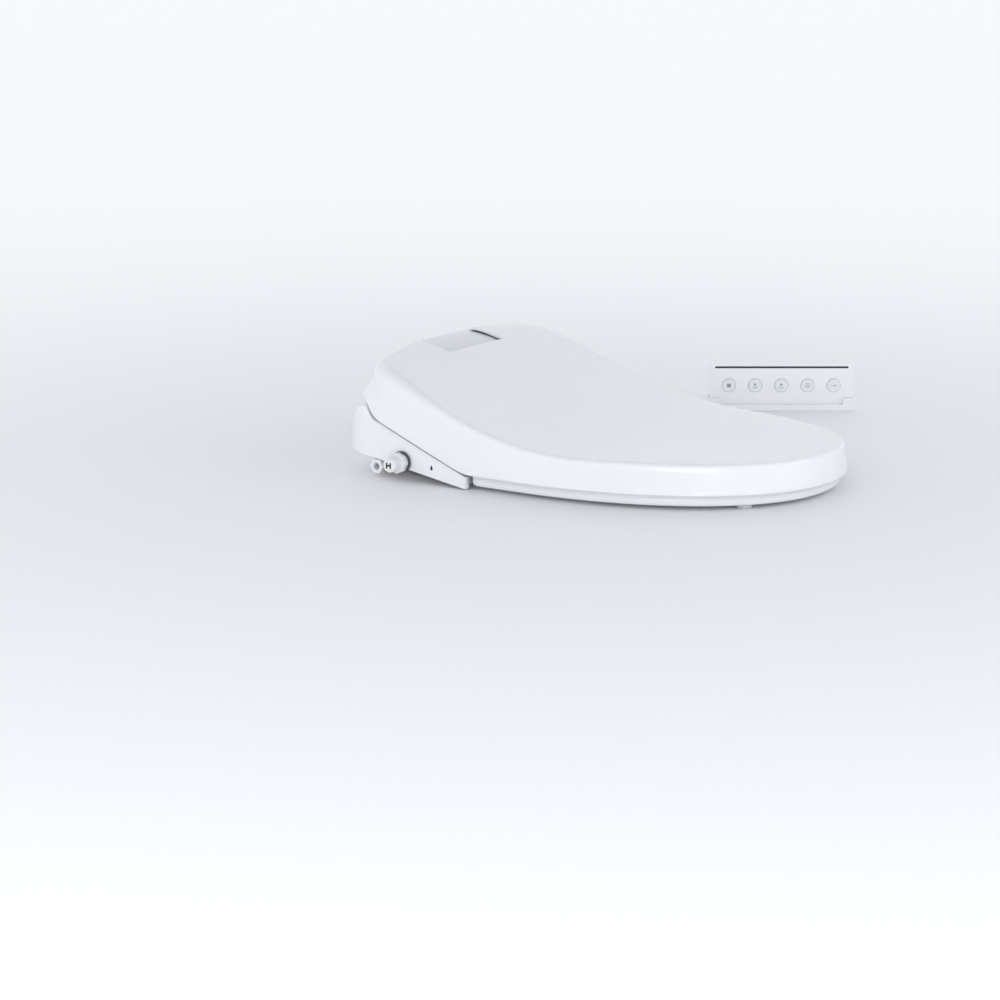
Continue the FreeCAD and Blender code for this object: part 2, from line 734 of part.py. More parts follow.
def top_cover():
    """The wash unit's cover: central dome, two arm troughs and side cheeks, open below."""
    wall = num(s.cover_wall)
    shell = casing_block(0).cut(casing_block(wall))
    outline = mirrored(base_outline(0.4))
    points = [Vector(num(x), num(y), -5) for x, y in outline]
    mouth = Part.Face(Part.makePolygon(points + points[:1])).extrude(Vector(0, 0, num(s.base_height) + 5))
    front, rear = -num(s.skirt_turn), num(s.shelf_rear)
    above = wall + 0.2
    hem = [(front, -10.0), (front, hem_line(front) + above), (rear, hem_line(rear) + above), (rear, -10.0)]
    shell = shell.cut(mouth.common(slab(hem, -FAR, FAR)))
    window = block(-44, 3, HINGE_Z, 44, 40, FAR)
    board_top = indicator_height() + num(s.board_thickness)
    ribs = []
    for side in (-1, 1):
        x = 37.0 * side
        rib = block(x - 2, 4, board_top, x + 2, 36, FAR / 2)
        ribs.append(rib.common(under_roof(num(s.dome_drop) + wall / 2)))
    window = window.cut(block(-FAR, -FAR, 0, -40, FAR, FAR)).cut(block(40, -FAR, 0, FAR, FAR, FAR))
    window = window.cut(Part.makeCompound([block(-39, 3, 0, -35, 40, FAR), block(35, 3, 0, 39, 40, FAR)]))
    shell = shell.cut(window).fuse(ribs)
    for x, y in screw_spots():
        top = trough_line(y) - wall / 2
        low = num(s.base_bottom + s.base_wall) + 0.2
        boss = cylinder(5, top - low, x, y, low, Z_AXIS)
        shell = shell.fuse(both_sides(boss))
        shell = shell.cut(both_sides(cylinder(2, 12, x, y, low - 1, Z_AXIS)))
    shaft = num(s.shaft_radius) + 0.02
    shell = shell.cut(both_sides(cylinder(shaft, 8, num(s.dome_half_width) - 5, HINGE_Y, HINGE_Z, X_AXIS)))
    inlet = num(s.inlet_radius + s.slip)
    shell = shell.cut(cylinder(inlet, 60, -200, -num(s.inlet_back), num(s.inlet_height), X_AXIS))
    shell = shell.cut(wand_clearance(num(s.wand_radius) + 0.6))
    shell = shell.cut(block(150, -72.4, 17.6, 200, -49.6, 30.4))
    shell = shell.cut(cylinder(6.2, 20, 95, num(s.shelf_rear) - 13, 20, Y_AXIS))
    return raw("top_cover", shell.removeSplitter())


def indicator_height():
    """Underside of the indicator board, below the window."""
    return 111.0


def window_panel():
    """The clear panel that lies in the lid's notch over the indicator board."""
    half = num(s.window_half_width)
    plate = block(-half, -num(s.window_front), HINGE_Z, half, num(s.dome_rear) - 2, FAR)
    plate = plate.common(under_roof(num(s.window_recess))).cut(under_roof(num(s.dome_drop)))
    return raw("window_panel", plate)


def mounting_plate():
    """The plate that the bolts hold to the bowl; the wash unit slides onto it."""
    body = new_body("mounting_plate")
    sketch = sketch_on(body, "XY_Plane")
    rectangle(sketch, (-s.plate_length / 2, -s.plate_width / 2), (s.plate_length / 2, s.plate_width / 2))
    pad(body, sketch, s.plate_thickness)
    soften(body, 6.0, upright)
    sketch = sketch_on(body, "XY_Plane", s.plate_thickness)
    reach = (s.slot_length - s.slot_width) / 2
    radius = s.slot_width / 2
    for side in (-1, 1):
        middle = side * s.bolt_spacing / 2
        slot(sketch, middle - reach, middle + reach, radius)
    pocket(body, sketch, 2 * s.plate_thickness)
    return body


def slot(sketch, x0, x1, radius):
    """A slot along the sketch's first axis, between the centres of its two round ends."""
    r, left, right = num(radius), num(x0), num(x1)
    first = sketch.GeometryCount
    sketch.addGeometry(Part.ArcOfCircle(Part.Circle(Vector(left, 0), Z_AXIS, r), math.pi / 2, 1.5 * math.pi))
    sketch.addGeometry(Part.LineSegment(Vector(left, -r), Vector(right, -r)))
    sketch.addGeometry(Part.ArcOfCircle(Part.Circle(Vector(right, 0), Z_AXIS, r), 1.5 * math.pi, 2.5 * math.pi))
    sketch.addGeometry(Part.LineSegment(Vector(right, r), Vector(left, r)))
    for a, b in ((0, 1), (1, 2), (2, 3), (3, 0)):
        end_a, end_b = (2, 1)
        sketch.addConstraint(Sketcher.Constraint("Tangent", first + a, end_a, first + b, end_b))
    hold(sketch, "DistanceX", first, 3, size=x0)
    hold(sketch, "DistanceY", first, 3, size=0.0)
    hold(sketch, "DistanceX", first + 2, 3, size=x1)
    hold(sketch, "DistanceY", first + 2, 3, size=0.0)
    hold(sketch, "Radius", first, size=radius)


def base_pads():
    """Four rubber pads under the base tray."""
    pads = [rod("base_pad", 9.0, s.base_bottom, x, y, 0.0)
            for x, y in ((-150.0, -94.0), (150.0, -94.0), (-108.0, 42.0), (108.0, 42.0))]
    return keep(group("base_pads_group", *pads), "base_pads")


def case_screws():
    """Four screws from below, through the tray and into the cover's bosses."""
    screws = []
    for side in (-1, 1):
        for x, y in screw_spots():
            head = rod("screw_head", 4.0, 1.8, side * x, y, s.base_bottom - 1.8)
            shank = rod("screw_shank", 1.9, 12.0, side * x, y, s.base_bottom)
            screws.append(fuse("screw", head, shank))
    return keep(group("case_screws_group", *screws), "case_screws")


def release_button():
    """The button on the side that lets the unit slide off its plate."""
    body = new_body("release_button")
    sketch = sketch_on(body, "YZ_Plane")
    rectangle(sketch, (-11.0, -6.0), (11.0, 6.0))
    pad(body, sketch, 18.0)
    soften(body, 1.5, lambda edge: abs(edge.BoundBox.XLength) < 1e-6 and edge.BoundBox.XMax > 17)
    return place(body, 171.0, -61.0, 24.0)


# ---------------------------------------------------------------- hinge hardware
def hinge_hardware():
    """Stub shafts that carry the seat and the lid, and the two dampers inside the dome."""
    length = s.lid_lug_inner + s.lid_lug_width + 1 - s.shaft_inner
    right = rod("shaft_right", s.shaft_radius, length, s.shaft_inner, s.hinge_back, s.hinge_height, ALONG_X)
    left = rod("shaft_left", s.shaft_radius, length, -s.shaft_inner - length, s.hinge_back, s.hinge_height,
               ALONG_X)
    keep(group("hinge_shafts_group", right, left), "hinge_shafts")
    for label, start in (("seat_damper", s.shaft_inner - s.damper_length), ("lid_damper", -s.shaft_inner)):
        barrel = rod(label + "_barrel", s.damper_radius, s.damper_length, start, s.hinge_back,
                     s.hinge_height, ALONG_X)
        rib = box(label + "_foot", (start + 6, s.hinge_back - 4, s.hinge_height - 24),
                  (start + s.damper_length - 6, s.hinge_back + 4, s.hinge_height))
        keep(fuse(label + "_fuse", barrel, rib), label)


# ---------------------------------------------------------------- water path
def water_parts():
    """Inlet with its strainer cap, solenoid, hose elbow and nut, heater tank and pump."""
    floor = s.base_bottom + s.base_wall
    skin = CAP_SEAT - 0.3
    stem = rod("valve_stem", s.inlet_radius, skin - 117.0, -skin, -s.inlet_back, s.inlet_height, ALONG_X)
    body = box("valve_block", (-130.0, -36.0, floor), (-116.0, 13.0, 34.0))
    bore = rod("valve_bore", s.screen_radius + 1, 36.0, -skin - 1, -s.inlet_back, s.inlet_height, ALONG_X)
    keep(cut("inlet_valve_cut", fuse("inlet_valve_fuse", stem, body), bore), "inlet_valve")

    cap = new_body("filter_cap")
    sketch = sketch_on(cap, "YZ_Plane")
    circle(sketch, 0.0, 0.0, s.cap_radius)
    pad(cap, sketch, s.cap_length)
    soften(cap, 1.5, lambda edge: edge.BoundBox.XMax < 1e-6 and edge.BoundBox.YLength > 10)
    sketch = sketch_on(cap, "YZ_Plane", s.cap_length)
    circle(sketch, 0.0, 0.0, s.cap_flange)
    pad(cap, sketch, 4.5, back=True)
    sketch = sketch_on(cap, "YZ_Plane")
    corners = [(6.0 * math.cos(math.pi * k / 3), 6.0 * math.sin(math.pi * k / 3)) for k in range(6)]
    polygon(sketch, corners)
    pocket(cap, sketch, 6.0, back=True)
    place(cap, -CAP_SEAT - s.cap_length, -s.inlet_back, s.inlet_height)
    tube = rod("screen_tube", s.screen_radius, 32.3, -CAP_SEAT, -s.inlet_back, s.inlet_height, ALONG_X)
    hollow = rod("screen_hollow", s.screen_radius - 1, 31.3, -skin + 1, -s.inlet_back, s.inlet_height, ALONG_X)
    keep(cut("filter_screen_cut", tube, hollow), "filter_screen")

    turned("solenoid_coil", [(2.0, 0.0), (6.5, 0.0), (6.5, 2.0), (5.5, 2.0), (5.5, 6.0), (6.5, 6.0),
                             (6.5, 7.6), (2.0, 7.6)])
    place(SUBPARTS[-1], -123.0, -12.0, 34.0)

    pipe = rod("hose_pipe", s.hose_radius, 40.0, -170.0, s.hose_back, s.hose_height, ALONG_X)
    pipe_bore = rod("hose_pipe_bore", s.hose_radius - 2, 42.0, -171.0, s.hose_back, s.hose_height, ALONG_X)
    keep(cut("inlet_elbow_cut", pipe, pipe_bore), "hose_inlet")
    nut = new_body("coupling_nut")
    sketch = sketch_on(nut, "YZ_Plane")
    polygon(sketch, [(9.0 * math.cos(math.pi * k / 3), 9.0 * math.sin(math.pi * k / 3)) for k in range(6)])
    circle(sketch, 0.0, 0.0, s.hose_radius - 1)
    pad(nut, sketch, 13.0)
    place(nut, -183.0, s.hose_back, s.hose_height)

    low, high = (-108.0, -53.0, floor), (-22.0, -15.0, 62.0)
    wall = s.sheet_thickness
    shell = box("tank_outer", low, high)
    hollow = box("tank_hollow", tuple(a + wall for a in low), (high[0] - wall, high[1] - wall, 70.0))
    keep(cut("tank_body_cut", shell, hollow), "heater_tank")
    top = box("tank_lid_plate", (low[0], low[1], 62.0), (high[0], high[1], 65.0))
    posts = [rod("board_post", 3.0, 7.0, x, y, 65.0) for x in (-103.0, -27.0) for y in (-48.0, -20.0)]
    keep(fuse("tank_lid_fuse", top, *posts), "tank_lid")
    spread = high[0] - low[0] - 2 * wall
    bars = [rod("heater_bar", 3.5, spread, low[0] + wall, -34.0, z, ALONG_X) for z in (24.0, 44.0)]
    keep(group("heater_elements_group", *bars), "heater_elements")
    keep(fuse("pump_fuse", rod("pump_can", 12.0, 34.0, -90.0, 27.0, floor),
              rod("pump_neck", 5.0, 10.0, -90.0, 27.0, floor + 34.0)), "water_pump")


# ---------------------------------------------------------------- wand
def in_wand_frame(item):
    """Place a piece that was drawn with its Y axis along the wand and its origin at the port."""
    return place(item, 0.0, -s.port_front, s.port_height, WAND_TURN)


def wand_parts():
    """The nozzle wand in its cradle, its rack and the geared motor that drives it."""
    r, play = s.wand_radius, s.wand_play
    tip_end, groove, rack_half = 19.0, 4.4, 3.0
    back = Rotation(X_AXIS, -90)
    tube = rod("wand_tube_rod", r, s.wand_length - tip_end, 0.0, tip_end, 0.0, back)
    bore = rod("wand_tube_bore", 3.0, s.wand_length, 0.0, tip_end - 1, 0.0, back)
    channel = box("wand_tube_channel", (-rack_half - 0.1, 30.0, groove),
                  (rack_half + 0.1, s.wand_length + 1, r + 1))
    in_wand_frame(keep(cut("wand_tube_cut", tube, bore, channel), "wand_tube"))

    tip = turned("wand_tip", [(0.0, 0.0), (4.5, 0.0), (r, 2.5), (r, 16.0), (0.0, 16.0)])
    sketch = sketch_on(tip, "XZ_Plane")
    for z in (5.0, 8.0, 11.0):
        circle(sketch, 0.0, z, 0.7)
    pocket(tip, sketch, 12.0)
    place(tip, PORT.x + 3 * WAND_DIRECTION.x, PORT.y + 3 * WAND_DIRECTION.y, PORT.z + 3 * WAND_DIRECTION.z,
          WAND_TURN.multiply(back))

    pitch = math.pi * num(s.gear_module)
    rack_root, rack_tip = 4.9, 6.2
    start, count = 32.0, 26
    centre = num(s.pinion_back)
    strip = [(start, groove), (start + (count + 1) * pitch, groove), (start + (count + 1) * pitch, rack_root)]
    first = centre - math.ceil((centre - start - pitch / 2) / pitch - 1) * pitch
    for k in reversed(range(count)):
        y = first + k * pitch
        strip += [(y + 0.75, rack_root), (y + 0.4, rack_tip), (y - 0.4, rack_tip), (y - 0.75, rack_root)]
    strip.append((start, rack_root))
    rack = slab(strip, -rack_half, rack_half)
    item = raw("wand_rack", rack)
    in_wand_frame(item)

    pinion = new_body("drive_pinion")
    teeth = int(num(s.pinion_teeth))
    rp = s.gear_module * s.pinion_teeth / 2
    sketch = sketch_on(pinion, "YZ_Plane", -2.5)
    circle(sketch, 0.0, 0.0, rp - 0.8)
    pad(pinion, sketch, 5.0)
    sketch = sketch_on(pinion, "YZ_Plane", -2.5)
    lean = math.pi / teeth
    tooth = [(-0.9, num(rp) - 1.2), (0.9, num(rp) - 1.2), (0.42, num(rp) + 0.5), (-0.42, num(rp) + 0.5)]
    polygon(sketch, [(x * math.cos(lean) - y * math.sin(lean), x * math.sin(lean) + y * math.cos(lean))
                     for x, y in tooth])
    feature = pad(pinion, sketch, 5.0)
    ring = pinion.newObject("PartDesign::PolarPattern", "drive_pinion_teeth")
    ring.Originals = [feature]
    ring.Axis = (sketch, ["N_Axis"])
    ring.Angle = 360
    ring.Occurrences = teeth
    pinion.Tip = ring
    DOC.recompute()
    sketch = sketch_on(pinion, "YZ_Plane", -2.5)
    circle(sketch, 0.0, 0.0, 1.5)
    pad(pinion, sketch, 19.0)
    lift = 5.6 + rp
    axle = PORT + WAND_DIRECTION * centre + WAND_TURN.multVec(Z_AXIS) * num(lift)
    place(pinion, 0.0, axle.y, axle.z, WAND_TURN)

    can = rod("wand_motor_can", 11.0, 22.0, 12.0, s.pinion_back, lift, ALONG_X)
    socket = rod("wand_motor_socket", 1.6, 5.0, 11.9, s.pinion_back, lift, ALONG_X)
    in_wand_frame(keep(cut("wand_motor_cut", can, socket), "wand_motor"))

    rail = box("cradle_rail", (-11.0, 16.0, -10.0), (11.0, 100.0, 9.0))
    way = rod("cradle_way", r + play, 120.0, 0.0, 0.0, 0.0, back)
    gap = box("cradle_gear_gap", (-3.5, s.pinion_back - 11, 0.0), (3.5, s.pinion_back + 11, 20.0))
    ear = box("cradle_motor_ear", (11.0, s.pinion_back - 12, -10.0), (33.0, s.pinion_back + 12, lift - 11.2))
    in_wand_frame(keep(cut("wand_cradle_cut", fuse("wand_cradle_fuse", rail, ear), way, gap), "wand_cradle"))

    ring_out = Part.makeCylinder(10.0, 40, PORT - WAND_DIRECTION * 20, WAND_DIRECTION)
    trim = ring_out.cut(wand_clearance(num(r) + 0.6))
    front = -num(s.dome_front)
    trim = trim.common(block(-FAR, front - 2, -FAR, FAR, front, FAR))
    raw("port_trim", trim)


# ---------------------------------------------------------------- dryer
def dryer_parts():
    """The dryer's blower with its impeller, motor and duct, and the odour filter."""
    floor = s.base_bottom + s.base_wall
    x, y, r = s.blower_x, s.blower_y, s.blower_radius
    wall = s.sheet_thickness
    can = rod("blower_can", r, s.blower_height, x, y, floor)
    hollow = rod("blower_hollow", r - wall, s.blower_height - 2 * wall, x, y, floor + wall)
    intake = rod("blower_intake", 12.0, 10.0, x, y, floor + s.blower_height - 2 * wall)
    mouth = box("blower_mouth", (x - 12, y - r - 2, floor + wall), (x + 12, y, floor + s.blower_height - wall))
    keep(cut("blower_housing_cut", can, hollow, intake, mouth), "blower_housing")
    duct_front = -s.dome_front + s.cover_wall + s.base_wall + 2 * s.slip
    duct_rear = y - r / 2
    duct = box("duct_outer", (x - 14, duct_front, floor), (x + 14, duct_rear, floor + s.blower_height))
    lumen = box("duct_lumen", (x - 12, duct_front - 1, floor + wall),
                (x + 12, duct_rear + 1, floor + s.blower_height - wall))
    seat = rod("duct_seat", r, s.blower_height + 2, x, y, floor - 1)
    keep(cut("dryer_duct_cut", duct, lumen, seat), "dryer_duct")

    impeller = new_body("blower_impeller")
    sketch = sketch_on(impeller, "XY_Plane")
    circle(sketch, 0.0, 0.0, r - wall - 4)
    pad(impeller, sketch, 1.6)
    sketch = sketch_on(impeller, "XY_Plane", 1.6)
    rectangle(sketch, (14.0, -0.8), (r - wall - 4.6, 0.8))
    blade = pad(impeller, sketch, 13.0)
    ring = impeller.newObject("PartDesign::PolarPattern", "blower_impeller_blades")
    ring.Originals = [blade]
    ring.Axis = (sketch, ["N_Axis"])
    ring.Angle = 360
    ring.Occurrences = 18
    impeller.Tip = ring
    DOC.recompute()
    sketch = sketch_on(impeller, "XY_Plane")
    circle(sketch, 0.0, 0.0, 2.0)
    pad(impeller, sketch, s.blower_height)
    place(impeller, x, y, floor + wall + 1)

    top = floor + s.blower_height
    disc = rod("motor_can", 11.0, 14.0, x, y, top + 1)
    feet = [box("motor_leg", (x - 1.5, y + low, top), (x + 1.5, y + high, top + 3))
            for low, high in ((-18.0, -10.0), (10.0, 18.0))]
    shaft_way = rod("motor_shaft_way", 2.2, 8.0, x, y, top)
    keep(cut("blower_motor_cut", fuse("blower_motor_fuse", disc, *feet), shaft_way), "blower_motor")
    rear = s.dome_rear - s.cover_wall - s.slip - s.base_wall
    keep(box("odour_filter_box", (18.0, rear - 10, floor), (60.0, rear, 28.0)), "odour_filter")


# ---------------------------------------------------------------- electrics
def chip_board(label, length, width, chips):
    """A circuit board with its parts standing on it."""
    body = new_body(label)
    sketch = sketch_on(body, "XY_Plane")
    rectangle(sketch, (-length / 2, -width / 2), (length / 2, width / 2))
    pad(body, sketch, s.board_thickness)
    for x, y, half_x, half_y, rise in chips:
        sketch = sketch_on(body, "XY_Plane", s.board_thickness)
        rectangle(sketch, (x - half_x, y - half_y), (x + half_x, y + half_y))
        pad(body, sketch, rise)
    return body


def electric_parts():
    """Control board, indicator board, power supply and the cord's gland."""
    board = chip_board("control_board", 84.0, 36.0, [(-28.0, 0.0, 8.0, 8.0, 3.0), (2.0, 6.0, 5.0, 5.0, 2.0),
                                                     (28.0, -6.0, 6.0, 9.0, 11.0), (8.0, -10.0, 4.0, 4.0, 9.0)])
    place(board, -65.0, -34.0, 72.0)
    board = chip_board("indicator_board", 78.0, 32.0, [(x, 0.0, 2.5, 2.5, 1.2) for x in (-24.0, -8.0, 8.0, 24.0)])
    place(board, 0.0, 20.0, indicator_height())
    supply = new_body("power_supply")
    sketch = sketch_on(supply, "XY_Plane")
    rectangle(sketch, (-35.0, -40.0), (35.0, 32.0))
    pad(supply, sketch, 26.0)
    soften(supply, 3.0, upright)
    place(supply, 73.0, -12.0, post_top())
    gland = turned("cord_gland", [(2.6, 0.0), (6.0, 0.0), (6.0, 7.0), (8.5, 7.0), (8.5, 10.0), (5.0, 18.0),
                                  (2.6, 18.0)])
    place(gland, 95.0, s.shelf_rear - 7, 20.0, ALONG_Y)


# ---------------------------------------------------------------- remote
def in_remote_frame(item):
    """Place a piece that was drawn with its front towards -Y and its origin under the remote."""
    return place(item, s.remote_x, s.remote_y, 0.0, REMOTE_TURN)


def key_spot(number):
    """Middle of a key along the remote, counted from the left."""
    return (number - 2) * s.key_pitch


KEY_NAMES = ["key_stop", "key_rear_wash", "key_front_wash", "key_dryer", "key_pressure"]


def remote_case(label, y0, y1, open_side):
    """One half of the remote's case, hollowed from its open side."""
    half, wall = s.remote_width / 2, s.remote_wall
    bottom, top = s.remote_foot, s.remote_foot + s.remote_height
    body = new_body(label + "_blank")
    SUBPARTS.remove(body)
    sketch = sketch_on(body, "XZ_Plane")
    rectangle(sketch, (-half, bottom), (half, top))
    pad(body, sketch, y1 - y0)
    soften(body, 4.0, lambda edge: abs(edge.BoundBox.YLength) > 5)
    place(body, 0.0, y1, 0.0)
    low_y = y0 + wall if open_side > 0 else y0 - 1
    high_y = y1 + 1 if open_side > 0 else y1 - wall
    hollow = box(label + "_hollow", (-half + wall, low_y, bottom + wall), (half - wall, high_y, top - wall))
    return body, hollow


def remote_parts():
    """The remote in its table bracket, with five keys."""
    half, wall, depth = s.remote_width / 2, s.remote_wall, s.remote_depth / 2
    bottom, top = s.remote_foot, s.remote_foot + s.remote_height
    key_height = s.remote_foot + s.remote_height * 0.52
    front, front_hollow = remote_case("remote_front", -depth, 0.0, 1)
    holes = [rod("key_hole", s.key_radius + s.key_play, 8.0, key_spot(k), -depth - 1, key_height, ALONG_Y)
             for k in range(5)]
    groove = box("strip_groove", (-half + 6, -depth - 1, top - 5), (half - 6, -depth + 1, top - 2.5))
    in_remote_frame(keep(cut("remote_front_cut", front, front_hollow, groove, *holes), "remote_front_case"))
    strip = box("strip_bar", (-half + 6.1, -depth + 0.1, top - 4.9), (half - 6.1, -depth + 1, top - 2.6))
    in_remote_frame(keep(fuse("remote_strip_fuse", strip, box("strip_tab", (-2.0, -depth + 0.5, top - 4.5),
                                                              (2.0, -depth + 1, top - 3))), "remote_strip"))
    back, back_hollow = remote_case("remote_back", 0.0, depth, -1)
    door_low, door_high = (-46.0, depth - 3, 16.0), (46.0, depth + 1, 48.0)
    opening = box("door_opening", door_low, door_high)
    in_remote_frame(keep(cut("remote_back_cut", back, back_hollow, opening), "remote_back_case"))
    door = box("door_plate", (-45.8, depth - wall, 16.2), (45.8, depth, 47.8))
    in_remote_frame(keep(fuse("door_fuse", door, box("door_rib", (-20.0, depth - 3.0, 18.0),
                                                     (20.0, depth - wall, 20.0))), "battery_door"))
    board = box("remote_board_plate", (-half + wall + 1, -3.0, bottom + wall),
                (half - wall - 1, -1.4, top - wall - 1))
    domes = [rod("key_dome", 3.0, 1.6, key_spot(k), -4.6, key_height, ALONG_Y) for k in range(5)]
    in_remote_frame(keep(fuse("remote_board_fuse", board, *domes), "remote_board"))
    cells = [rod("battery_cell", 5.0, 44.0, x, 3.9, 32.0 + shift, ALONG_X)
             for x, shift in ((-44.0, -6.0), (0.0, 6.0))]
    in_remote_frame(keep(group("remote_batteries_group", *cells), "remote_batteries"))
    proud, flange = 1.2, s.key_radius + 1.5
    for number, name in enumerate(KEY_NAMES):
        key = turned(name, [(0.0, 0.0), (s.key_radius - 0.6, 0.0), (s.key_radius, 0.6), (s.key_radius, 3.9),
                            (flange, 3.9), (flange, 4.8), (2.0, 4.8), (2.0, 6.0), (0.0, 6.0)])
        spot = Vector(num(key_spot(number)), num(-depth - proud), num(key_height))
        spot = REMOTE_TURN.multVec(spot) + Vector(num(s.remote_x), num(s.remote_y), 0)
        place(key, spot.x, spot.y, spot.z, REMOTE_TURN.multiply(ALONG_Y))
    play, rim = s.slip, 3.0
    tray = box("bracket_tray", (-half - play - rim, -depth - play - rim, 0.0),
               (half + play + rim, depth + play + rim, s.bracket_height))
    well = box("bracket_well", (-half - play, -depth - play, s.remote_foot),
               (half + play, depth + play, s.bracket_height + 1))
    window = box("bracket_window", (-half + 12, -depth - play - rim - 1, 8.0),
                 (half - 12, -depth + 1, s.bracket_height + 1))
    in_remote_frame(keep(cut("remote_bracket_cut", tray, well, window), "remote_bracket"))


# ---------------------------------------------------------------- build, check and write
def main():
    """Build every sub-part, check it and write its file."""
    lid_shell()
    lid_bumpers()
    seat_shells()
    seat_bumpers()
    base_case()
    top_cover()
    window_panel()
    mounting_plate()
    base_pads()
    case_screws()
    release_button()
    hinge_hardware()
    water_parts()
    wand_parts()
    dryer_parts()
    electric_parts()
    remote_parts()
    DOC.recompute()
    for item in DOC.Objects:
        if "Invalid" in item.State or "Error" in item.State:
            raise RuntimeError("%s failed: %s" % (item.Label, item.State))
    os.makedirs("parts", exist_ok=True)
    for item in SUBPARTS:
        shape = item.Shape
        if shape.isNull() or not shape.isValid() or not shape.Solids:
            raise RuntimeError("%s has no valid solid" % item.Label)
        shape.exportStep("parts/%s.step" % item.Label)
        print("%-20s %d solid(s) %10.0f mm3" % (item.Label, len(shape.Solids), shape.Volume))


main()
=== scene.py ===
"""Looks of an electric bidet seat: lid, heated ring, wash unit and stand-up remote.

Lengths in the dataclasses are millimetres in the frame's axes: +Z up, front towards -Y.
"""

import json
import logging
import math
from dataclasses import dataclass, field
from enum import Enum

import bmesh
import bpy
import numpy as np
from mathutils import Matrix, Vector

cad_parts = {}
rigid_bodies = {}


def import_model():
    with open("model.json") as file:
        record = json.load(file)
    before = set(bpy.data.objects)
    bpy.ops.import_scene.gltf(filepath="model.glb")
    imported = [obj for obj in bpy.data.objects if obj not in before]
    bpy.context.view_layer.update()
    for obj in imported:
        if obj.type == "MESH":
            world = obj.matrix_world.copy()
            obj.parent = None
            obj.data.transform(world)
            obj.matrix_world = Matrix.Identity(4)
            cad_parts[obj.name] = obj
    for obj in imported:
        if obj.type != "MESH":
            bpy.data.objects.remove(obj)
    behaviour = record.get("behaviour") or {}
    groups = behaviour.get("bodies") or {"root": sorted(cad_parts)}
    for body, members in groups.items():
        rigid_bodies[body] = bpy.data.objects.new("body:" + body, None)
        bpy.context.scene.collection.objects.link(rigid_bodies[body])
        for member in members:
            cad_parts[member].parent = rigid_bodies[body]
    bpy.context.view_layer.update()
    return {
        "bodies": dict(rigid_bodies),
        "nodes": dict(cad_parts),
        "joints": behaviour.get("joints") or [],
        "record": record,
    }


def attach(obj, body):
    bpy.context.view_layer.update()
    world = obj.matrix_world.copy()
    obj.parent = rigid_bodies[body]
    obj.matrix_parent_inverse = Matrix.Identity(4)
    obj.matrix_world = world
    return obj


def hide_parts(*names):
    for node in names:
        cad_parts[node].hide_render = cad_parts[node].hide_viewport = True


LOG = logging.getLogger("bidet_seat")
MM = 0.001


# ------------------------------------------------------------------ finishes
class Grain(Enum):
    """Fine structure that a surface keeps from how it was made."""

    MOULDED = "moulded"
    TEXTURED = "textured"
    BRUSHED = "brushed"
    WOUND = "wound"


# How much each grain's pattern is squeezed along x, y and z, so that brushing runs across as lines.
STRETCH: dict[Grain, tuple[float, float, float]] = {
    Grain.MOULDED: (1.0, 1.0, 1.0),
    Grain.TEXTURED: (1.0, 1.0, 1.0),
    Grain.BRUSHED: (0.06, 1.0, 1.0),
    Grain.WOUND: (1.0, 1.0, 0.1),
}


@dataclass(frozen=True)
class Finish:
    """One real material and how it was made."""

    name: str
    tone: str
    roughness: float
    grain: Grain = Grain.MOULDED
    grain_mm: float = 6.0
    depth_mm: float = 0.004
    metallic: float = 0.0
    coat: float = 0.0
    coat_roughness: float = 0.12
    spread: float = 0.04

    def build(self) -> bpy.types.Material:
        """Makes the procedural material.

        Returns:
            The new material.
        """
        material = bpy.data.materials.new(self.name)
        material.use_nodes = True
        tree = material.node_tree
        shader = tree.nodes["Principled BSDF"]
        for socket, value in (
            ("Base Color", linear(self.tone)),
            ("Metallic", self.metallic),
            ("Coat Weight", self.coat),
            ("Coat Roughness", self.coat_roughness),
        ):
            shader.inputs[socket].default_value = value
        place = add_node(tree, "ShaderNodeTexCoord")
        turn = add_node(
            tree, "ShaderNodeMapping", links={"Vector": place.outputs["Object"]}, Scale=STRETCH[self.grain]
        )
        speck = add_node(
            tree,
            "ShaderNodeTexNoise",
            links={"Vector": turn.outputs["Vector"]},
            Scale=1000.0 / self.grain_mm,
            Detail=3.0,
            Roughness=0.6,
        )
        gloss = add_node(
            tree,
            "ShaderNodeMapRange",
            links={"Value": speck.outputs["Fac"]},
            **{"To Min": max(self.roughness - self.spread, 0.0), "To Max": self.roughness + self.spread},
        )
        relief = add_node(
            tree,
            "ShaderNodeBump",
            links={"Height": speck.outputs["Fac"]},
            Strength=0.5,
            Distance=self.depth_mm * MM,
        )
        tree.links.new(gloss.outputs["Result"], shader.inputs["Roughness"])
        tree.links.new(relief.outputs["Normal"], shader.inputs["Normal"])
        return material


def linear(code: str) -> tuple[float, float, float, float]:
    """Turns an sRGB hex code into linear colour.

    Args:
        code: Six hex digits after a hash sign.

    Returns:
        Linear red, green, blue and an alpha of one.
    """
    parts = [int(code[i : i + 2], 16) / 255 for i in (1, 3, 5)]
    out = [c / 12.92 if c <= 0.04045 else ((c + 0.055) / 1.055) ** 2.4 for c in parts]
    return (out[0], out[1], out[2], 1.0)


def add_node(
    tree: bpy.types.NodeTree,
    kind: str,
    links: dict[str, bpy.types.NodeSocket] | None = None,
    **values: object,
) -> bpy.types.Node:
    """Adds a shader node with its settings and incoming links.

    Args:
        tree: Node tree that gets the node.
        kind: Type name of the node.
        links: Output socket for each input that is linked.
        **values: Value for each input that is constant.

    Returns:
        The new node.
    """
    node = tree.nodes.new(kind)
    for socket, value in values.items():
        node.inputs[socket].default_value = value
    for socket, source in (links or {}).items():
        tree.links.new(source, node.inputs[socket])
    return node


